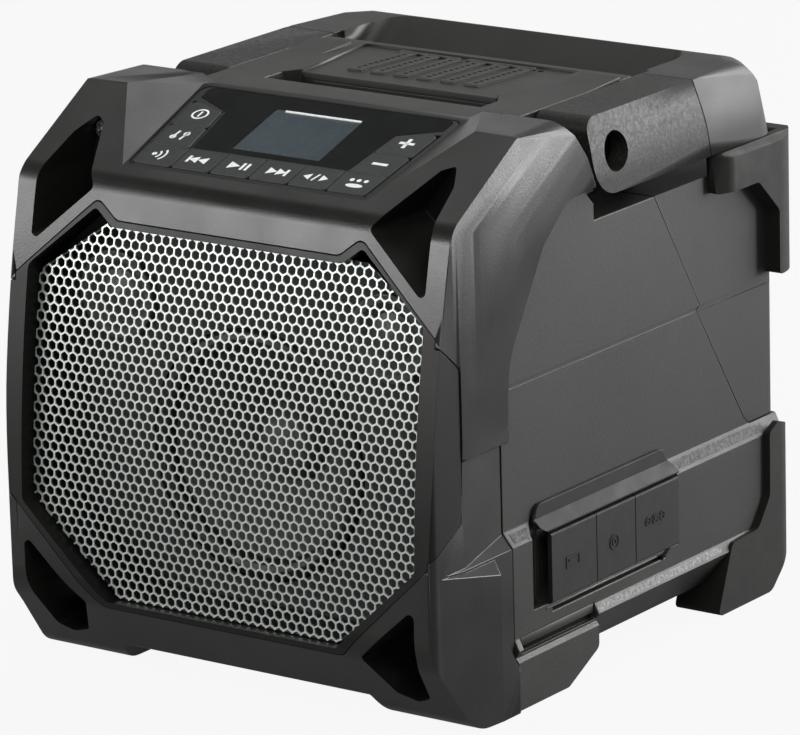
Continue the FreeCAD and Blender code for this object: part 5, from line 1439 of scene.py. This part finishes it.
class SymbolPen:
    """Draws flat symbols in millimetres, as faces in the XY plane."""

    disc_sides: int = 20
    ring_sides: int = 28
    arc_steps: int = 8

    def __init__(self) -> None:
        """Start with an empty sheet."""
        self.bm = bmesh.new()

    def place(self, verts: list, x: float, y: float, turn_deg: float = 0.0,
              wide: float = 1.0, tall: float = 1.0) -> None:
        """Scale, turn and move new corners to their place."""
        move = Matrix.Translation((x, y, 0.0)) @ Matrix.Rotation(math.radians(turn_deg), 4, "Z")
        bmesh.ops.transform(self.bm, matrix=move @ Matrix.Diagonal((wide, tall, 1.0, 1.0)),
                            verts=verts)

    def disc(self, x: float, y: float, radius: float, wide: float = 1.0) -> None:
        """Filled circle, or an ellipse that is wide times as wide as tall."""
        made = bmesh.ops.create_circle(self.bm, cap_ends=True, segments=self.disc_sides,
                                       radius=radius)["verts"]
        self.place(made, x, y, wide=wide)

    def ring(self, x: float, y: float, radius: float, width: float) -> None:
        """Circle drawn with a line.

        Args:
            x: Centre across.
            y: Centre up.
            radius: Outer radius.
            width: Width of the line.
        """
        outer, inner = (bmesh.ops.create_circle(
            self.bm, segments=self.ring_sides, radius=r)["verts"] for r in (radius, radius - width))
        edges = {e for v in outer + inner for e in v.link_edges}
        bmesh.ops.bridge_loops(self.bm, edges=list(edges))
        self.place(outer + inner, x, y)

    def bar(self, x: float, y: float, width: float, height: float, turn_deg: float = 0.0) -> None:
        """Filled rectangle about its centre."""
        made = bmesh.ops.create_grid(self.bm, x_segments=1, y_segments=1, size=0.5)["verts"]
        self.place(made, x, y, turn_deg, width, height)

    def arrow(self, x: float, y: float, width: float, height: float, turn_deg: float = 0.0) -> None:
        """Filled triangle that points along +X before it is turned.

        Args:
            x: Centre across.
            y: Centre up.
            width: Length from its base to its tip.
            height: Length of its base.
            turn_deg: Turn about its centre.
        """
        made = bmesh.ops.create_circle(self.bm, cap_ends=True, segments=3, radius=1.0)["verts"]
        tip = max(made, key=lambda v: v.co.x).co
        self.place(made, 0.0, 0.0, -math.degrees(math.atan2(tip.y, tip.x)))
        self.place(made, x, y, turn_deg, width / 1.5, height / math.sqrt(3))

    def arc(self, x: float, y: float, radius: float, width: float, start_deg: float,
            sweep_deg: float) -> None:
        """Part of a circle, drawn with a line.

        Args:
            x: Centre across.
            y: Centre up.
            radius: Outer radius.
            width: Width of the line.
            start_deg: Angle at which it starts.
            sweep_deg: Angle that it covers.
        """
        before = set(self.bm.verts)
        ends = [self.bm.verts.new((r, 0.0, 0.0)) for r in (radius - width, radius)]
        edge = self.bm.edges.new(ends)
        bmesh.ops.spin(self.bm, geom=ends + [edge], cent=(0, 0, 0), axis=(0, 0, 1),
                       steps=self.arc_steps, angle=math.radians(sweep_deg),
                       use_duplicate=False)
        self.place([v for v in self.bm.verts if v not in before], x, y, start_deg)

    def draw(self, strokes: tuple, thickness: float) -> BMesh:
        """Draw a symbol and give it a thickness.

        Args:
            strokes: Tuples of a method's name and its measures.
            thickness: Thickness above the plane.

        Returns:
            The symbol, in millimetres.
        """
        for kind, *measures in strokes:
            getattr(self, kind)(*measures)
        for face in self.bm.faces:
            if face.normal.z < 0:
                face.normal_flip()
        thicken(self.bm, Vector((0.0, 0.0, thickness)))
        return self.bm


class Symbol(Enum):
    """What each key shows, drawn about the key's middle, by the key's name.

    Each stroke is a method of the pen and its measures, in millimetres and degrees.
    """

    PAIRING = (("disc", -2.6, 0.0, 1.0), ("arc", -2.6, 0.0, 3.0, 0.8, -50.0, 100.0),
               ("arc", -2.6, 0.0, 5.2, 0.8, -42.0, 84.0))
    PREVIOUS = (("bar", -4.6, 0.0, 1.15, 4.2), ("arrow", -2.0, 0.0, 4.0, 4.2, 180.0),
                ("arrow", 2.0, 0.0, 4.0, 4.2, 180.0))
    PLAY = (("arrow", -2.2, 0.0, 4.8, 4.4), ("bar", 2.2, 0.0, 1.15, 4.4),
            ("bar", 4.3, 0.0, 1.15, 4.4))
    NEXT = (("arrow", -2.4, 0.0, 4.0, 4.2), ("arrow", 1.6, 0.0, 4.0, 4.2),
            ("bar", 4.3, 0.0, 1.15, 4.2))
    CHANNEL = (("arrow", -3.3, 0.0, 3.1, 3.9, 180.0), ("bar", 0.0, 0.0, 0.8, 4.6, -16.0),
               ("arrow", 3.3, 0.0, 3.1, 3.9))
    GROUP = (("disc", 0.0, -1.6, 1.2, 3.0), ("disc", -3.0, 1.9, 0.95), ("disc", 0.0, 1.9, 0.95),
             ("disc", 3.0, 1.9, 0.95))
    MINUS = (("bar", 0.0, 0.0, 6.6, 1.45),)
    PLUS = (("bar", 0.0, 0.0, 6.4, 1.45), ("bar", 0.0, 0.0, 1.45, 6.2))
    EQUALIZER = (("bar", -2.0, 0.0, 0.9, 5.6, -8.0), ("disc", -2.2, -1.4, 1.35),
                 ("bar", 2.0, 0.0, 0.9, 5.6, -8.0), ("disc", 2.2, 1.3, 1.35))
    POWER = (("ring", 0.0, 0.0, 3.4, 0.8), ("bar", 0.0, 0.0, 0.9, 3.6))


@dataclass
class ControlPanel:
    """The sloping panel with its keys, printed symbols, window and screen, with a highlight painted
    along the screen's upper edge.
    """

    slope_deg: float = 17.8
    front_y_mm: float = -96.8
    front_z_mm: float = 187.1
    panel_edge_mm: float = 0.25
    key_face_mm: float = 0.3
    ink_mm: float = 0.05
    ink_sunk_mm: float = 0.02
    screen_edge_highlight: Xyz = (2.3, 47.9, -0.22)
    screen_edge_size: Xyz = (33.4, 0.9, 0.5)
    screen_edge_round_mm: float = 0.12

    def plane(self, height_mm: float = 0.0) -> Matrix:
        """Placement of the panel's face.

        Args:
            height_mm: Height above the face.

        Returns:
            Matrix from flat millimetres on the panel to metres.
        """
        base = Vector((0.0, self.front_y_mm, self.front_z_mm)) * MM
        turn = Matrix.Rotation(math.radians(self.slope_deg), 4, "X")
        return (Matrix.Translation(base) @ turn @ Matrix.Scale(MM, 4)
                @ Matrix.Translation((0.0, 0.0, height_mm)))

    def key_centre(self, node: str) -> Vector:
        """Middle of a key in flat panel millimetres."""
        low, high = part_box(node)
        return self.plane().inverted() @ ((low + high) / 2)

    def build(self) -> None:
        """Dress the panel and print every key."""
        RoundedShell("control_panel", Finish.CASE, edge_mm=self.panel_edge_mm).build()
        dress(display_window=Finish.WINDOW, lcd_module=Finish.SCREEN,
              control_board=Finish.BOARD, key_switches=Finish.TERMINAL)
        for symbol in Symbol:
            name = symbol.name.lower()
            key = f"button_{name}"
            dress(**{key: Finish.KEY})
            centre = self.key_centre(key)
            bm = SymbolPen().draw(symbol.value, self.ink_mm)
            place = (self.plane(self.key_face_mm - self.ink_sunk_mm)
                     @ Matrix.Translation((centre.x, centre.y, 0.0)))
            bmesh.ops.transform(bm, matrix=place, verts=bm.verts)
            finish_piece(f"symbol_{name}", bm, Finish.INK, key, smooth_deg=30.0)
            LOG.info("symbol %s printed", name)
        self.build_screen_edge()

    def build_screen_edge(self) -> None:
        """Bevelled bar along the screen's upper edge, painted white as the highlight line that the
        edge catches.
        """
        bm = bmesh.new()
        made = bmesh.ops.create_cube(bm, size=1.0)["verts"]
        move = Matrix.Translation(self.screen_edge_highlight)
        bmesh.ops.transform(bm, matrix=move @ Matrix.Diagonal((*self.screen_edge_size, 1.0)),
                            verts=made)
        round_edges(bm, list(bm.edges), self.screen_edge_round_mm)
        bmesh.ops.transform(bm, matrix=self.plane(), verts=bm.verts)
        # The white bar is a painted highlight.
        finish_piece("screen_edge_highlight", bm, Finish.INK, "case")
        LOG.info("screen edge placed")


@dataclass(frozen=True)
class FlapSign:
    """The raised sign on one flap, with its middle and its strokes seen from the right."""

    flap: str
    y_mm: float
    z_mm: float
    strokes: tuple[tuple, ...]


@dataclass
class Ports:
    """Rubber flaps on the right side, with the sockets and board behind them."""

    cover_edge_mm: float = 0.4
    flap_edge_mm: float = 0.35
    face_x_mm: float = 96.2
    emboss_mm: float = 0.3
    root_mm: float = 0.1
    signs: tuple[FlapSign, ...] = (
        FlapSign("flap_usb", -36.6, 47.4, (
            ("bar", 0.0, 1.9, 8.6, 0.7), ("bar", 0.0, -1.9, 8.6, 0.7),
            ("bar", -3.95, 0.0, 0.7, 3.1), ("bar", 3.95, 0.0, 0.7, 3.1),
            ("bar", 0.0, 0.45, 5.0, 0.9))),
        FlapSign("flap_aux", -10.0, 47.2, (
            ("ring", 0.0, 0.0, 3.0, 0.7), ("ring", 0.0, 0.0, 1.5, 0.7))),
        FlapSign("flap_dc", 16.7, 48.9, (
            ("ring", -4.6, 0.0, 1.7, 0.5), ("bar", -4.6, 0.0, 1.7, 0.5),
            ("bar", -2.2, 0.0, 1.3, 0.5), ("disc", 0.0, 0.0, 0.8),
            ("arc", 0.0, 0.0, 2.0, 0.55, 35.0, 290.0), ("bar", 2.0, 0.0, 1.5, 0.5),
            ("ring", 4.6, 0.0, 1.7, 0.5), ("bar", 4.6, 0.0, 1.7, 0.5))))

    def build(self) -> None:
        """Round the cover strip and the flaps, emboss their signs and dress the sockets."""
        RoundedShell("port_cover", Finish.FLAP, "flap_rubber", edge_mm=self.cover_edge_mm).build()
        sideways = Matrix(((0, 0, 1, 0), (1, 0, 0, 0), (0, 1, 0, 0), (0, 0, 0, 1)))
        for sign in self.signs:
            name = sign.flap
            RoundedShell(name, Finish.FLAP, "flap_rubber", name, self.flap_edge_mm).build()
            bm = SymbolPen().draw(sign.strokes, self.emboss_mm + self.root_mm)
            foot = (self.face_x_mm - self.root_mm, sign.y_mm, sign.z_mm)
            place = Matrix.Translation(foot) @ sideways
            bmesh.ops.transform(bm, matrix=Matrix.Scale(MM, 4) @ place, verts=bm.verts)
            finish_piece(f"{name}_sign", bm, Finish.FLAP, name, smooth_deg=30.0)
        dress(usb_socket=Finish.SOCKET, aux_socket=Finish.SOCKET, dc_socket=Finish.SOCKET,
              port_board=Finish.BOARD)


@dataclass
class RearDoor:
    """Battery door with its latch and hinge, and the bay behind it."""

    door_edge_mm: float = 0.5
    latch_edge_mm: float = 0.4
    bay_edge_mm: float = 0.4

    def build(self) -> None:
        """Round the door, its latch and the bay, and dress the hinge and the terminals."""
        RoundedShell("battery_door", Finish.CASE, body="battery_door",
                     edge_mm=self.door_edge_mm).build()
        RoundedShell("door_latch", Finish.GRIP, body="door_latch",
                     edge_mm=self.latch_edge_mm).build()
        dress(door_hinge_pin=Finish.PIVOT)
        RoundedShell("battery_bay", Finish.INNER, "inner_plastic",
                     edge_mm=self.bay_edge_mm).build()
        dress(battery_terminals=Finish.TERMINAL)


@dataclass
class Electronics:
    """Boards and heat sink inside the case."""

    def build(self) -> None:
        """Dress the inner parts."""
        dress(main_board=Finish.BOARD, heat_sink=Finish.SINK)


# Studio

@dataclass
class SoftBox:
    """A large plain white lamp that points at the speaker."""

    name: str
    place: Xyz
    size: Span
    power: float
    aim: Xyz = (0.0, 0.0, 0.1)

    def build(self) -> None:
        """Put the lamp in the scene."""
        lamp = bpy.data.lights.new(self.name, "AREA")
        lamp.shape = "RECTANGLE"
        lamp.size, lamp.size_y = self.size
        lamp.energy = self.power
        holder = bpy.data.objects.new(self.name, lamp)
        holder.location = self.place
        away = Vector(self.aim) - Vector(self.place)
        holder.rotation_euler = away.to_track_quat("-Z", "Y").to_euler()
        bpy.context.scene.collection.objects.link(holder)


@dataclass
class Studio:
    """Camera, floor, lamps and the pale room round the speaker."""

    lens_mm: float = 270.676
    sensor_mm: float = 36.0
    sight_m: float = 50.0
    place: Xyz = (1.24694, -1.72465, 0.69547)
    right: Xyz = (0.813425, 0.581097, -0.025809)
    up: Xyz = (-0.137429, 0.235111, 0.962204)
    floor_size: float = 6.0
    room_light: float = 0.28
    ceiling_light: float = 0.1
    backdrop_top: float = 0.5
    boxes: list[SoftBox] = field(default_factory=lambda: [
        SoftBox("lamp_rear_right", (0.78, 1.56, 0.66), (1.3, 1.2), 42.0),
        SoftBox("lamp_front_left", (-1.19, -1.52, 0.5), (1.2, 0.6), 23.0),
        SoftBox("lamp_shoulder", (1.09, 1.05, 0.12), (0.22, 0.22), 4.5),
        SoftBox("lamp_grip", (-0.76, 0.12, 1.37), (0.5, 0.5), 0.9),
        SoftBox("lamp_top", (-0.12, 0.78, 1.6), (1.0, 0.8), 8.0),
        SoftBox("lamp_front_right", (0.8, -1.0, 1.55), (1.2, 1.0), 14.0),
    ])

    def build(self) -> None:
        """Build the studio in full."""
        self.build_camera()
        self.build_floor()
        self.build_world()
        for box in self.boxes:
            box.build()
        bpy.context.scene.view_settings.view_transform = "Standard"
        LOG.info("studio ready with %d lamps", len(self.boxes))

    def build_camera(self) -> None:
        """Camera at the photograph's viewing angle."""
        camera = bpy.data.cameras.new("camera")
        camera.lens = self.lens_mm
        camera.sensor_width = self.sensor_mm
        camera.sensor_fit = "HORIZONTAL"
        camera.clip_end = self.sight_m
        holder = bpy.data.objects.new("camera", camera)
        bpy.context.scene.collection.objects.link(holder)
        x_axis = Vector(self.right)
        y_axis = Vector(self.up)
        turn = Matrix((x_axis, y_axis, x_axis.cross(y_axis))).transposed().to_4x4()
        holder.matrix_world = Matrix.Translation(self.place) @ turn
        bpy.context.scene.camera = holder

    def build_floor(self) -> None:
        """Wide white floor under the speaker's feet."""
        bm = bmesh.new()
        bmesh.ops.create_grid(bm, x_segments=1, y_segments=1, size=self.floor_size)
        mesh = bpy.data.meshes.new("floor")
        bm.to_mesh(mesh)
        bm.free()
        mesh.materials.append(StudioFloor("paper_floor").build())
        floor = bpy.data.objects.new("floor", mesh)
        bpy.context.scene.collection.objects.link(floor)

    def build_world(self) -> None:
        """Room with a white backdrop up to a height, a dim ceiling and a soft even light."""
        world = bpy.data.worlds.new("room")
        bpy.context.scene.world = world
        tree = empty_tree(world)
        direction = add_node(tree, "ShaderNodeTexCoord").outputs["Generated"]
        height = add_node(tree, "ShaderNodeSeparateXYZ", inputs={"Vector": direction}).outputs["Z"]
        backdrop = add_node(tree, "ShaderNodeMapRange", inputs={
            "Value": height, "From Min": 0.0, "From Max": self.backdrop_top, "To Min": 1.0,
            "To Max": self.ceiling_light}).outputs["Result"]
        path = add_node(tree, "ShaderNodeLightPath").outputs
        camera = path["Is Camera Ray"]
        shown = calculate(tree, "MAXIMUM", camera, backdrop)
        seen = calculate(tree, "MAXIMUM", camera, path["Is Glossy Ray"])
        seen = calculate(tree, "MAXIMUM", seen, path["Is Transmission Ray"])
        strength = add_node(tree, "ShaderNodeMix", inputs={
            0: seen, 2: self.room_light, 3: shown}).outputs[0]
        room = add_node(tree, "ShaderNodeBackground",
                        inputs={"Color": WHITE, "Strength": strength})
        add_node(tree, "ShaderNodeOutputWorld", inputs={"Surface": room.outputs[0]})


def main() -> None:
    """Dress the speaker piece by piece and keep its sizes."""
    logging.basicConfig(level=logging.INFO, format="%(name)s: %(message)s")
    for part in (Studio(), CaseShells(), CaseTrim(), Handle(), PerforatedSheet(), Loudspeakers(),
                 ControlPanel(), Ports(), RearDoor(), Electronics()):
        part.build()


if __name__ == "__main__":
    main()
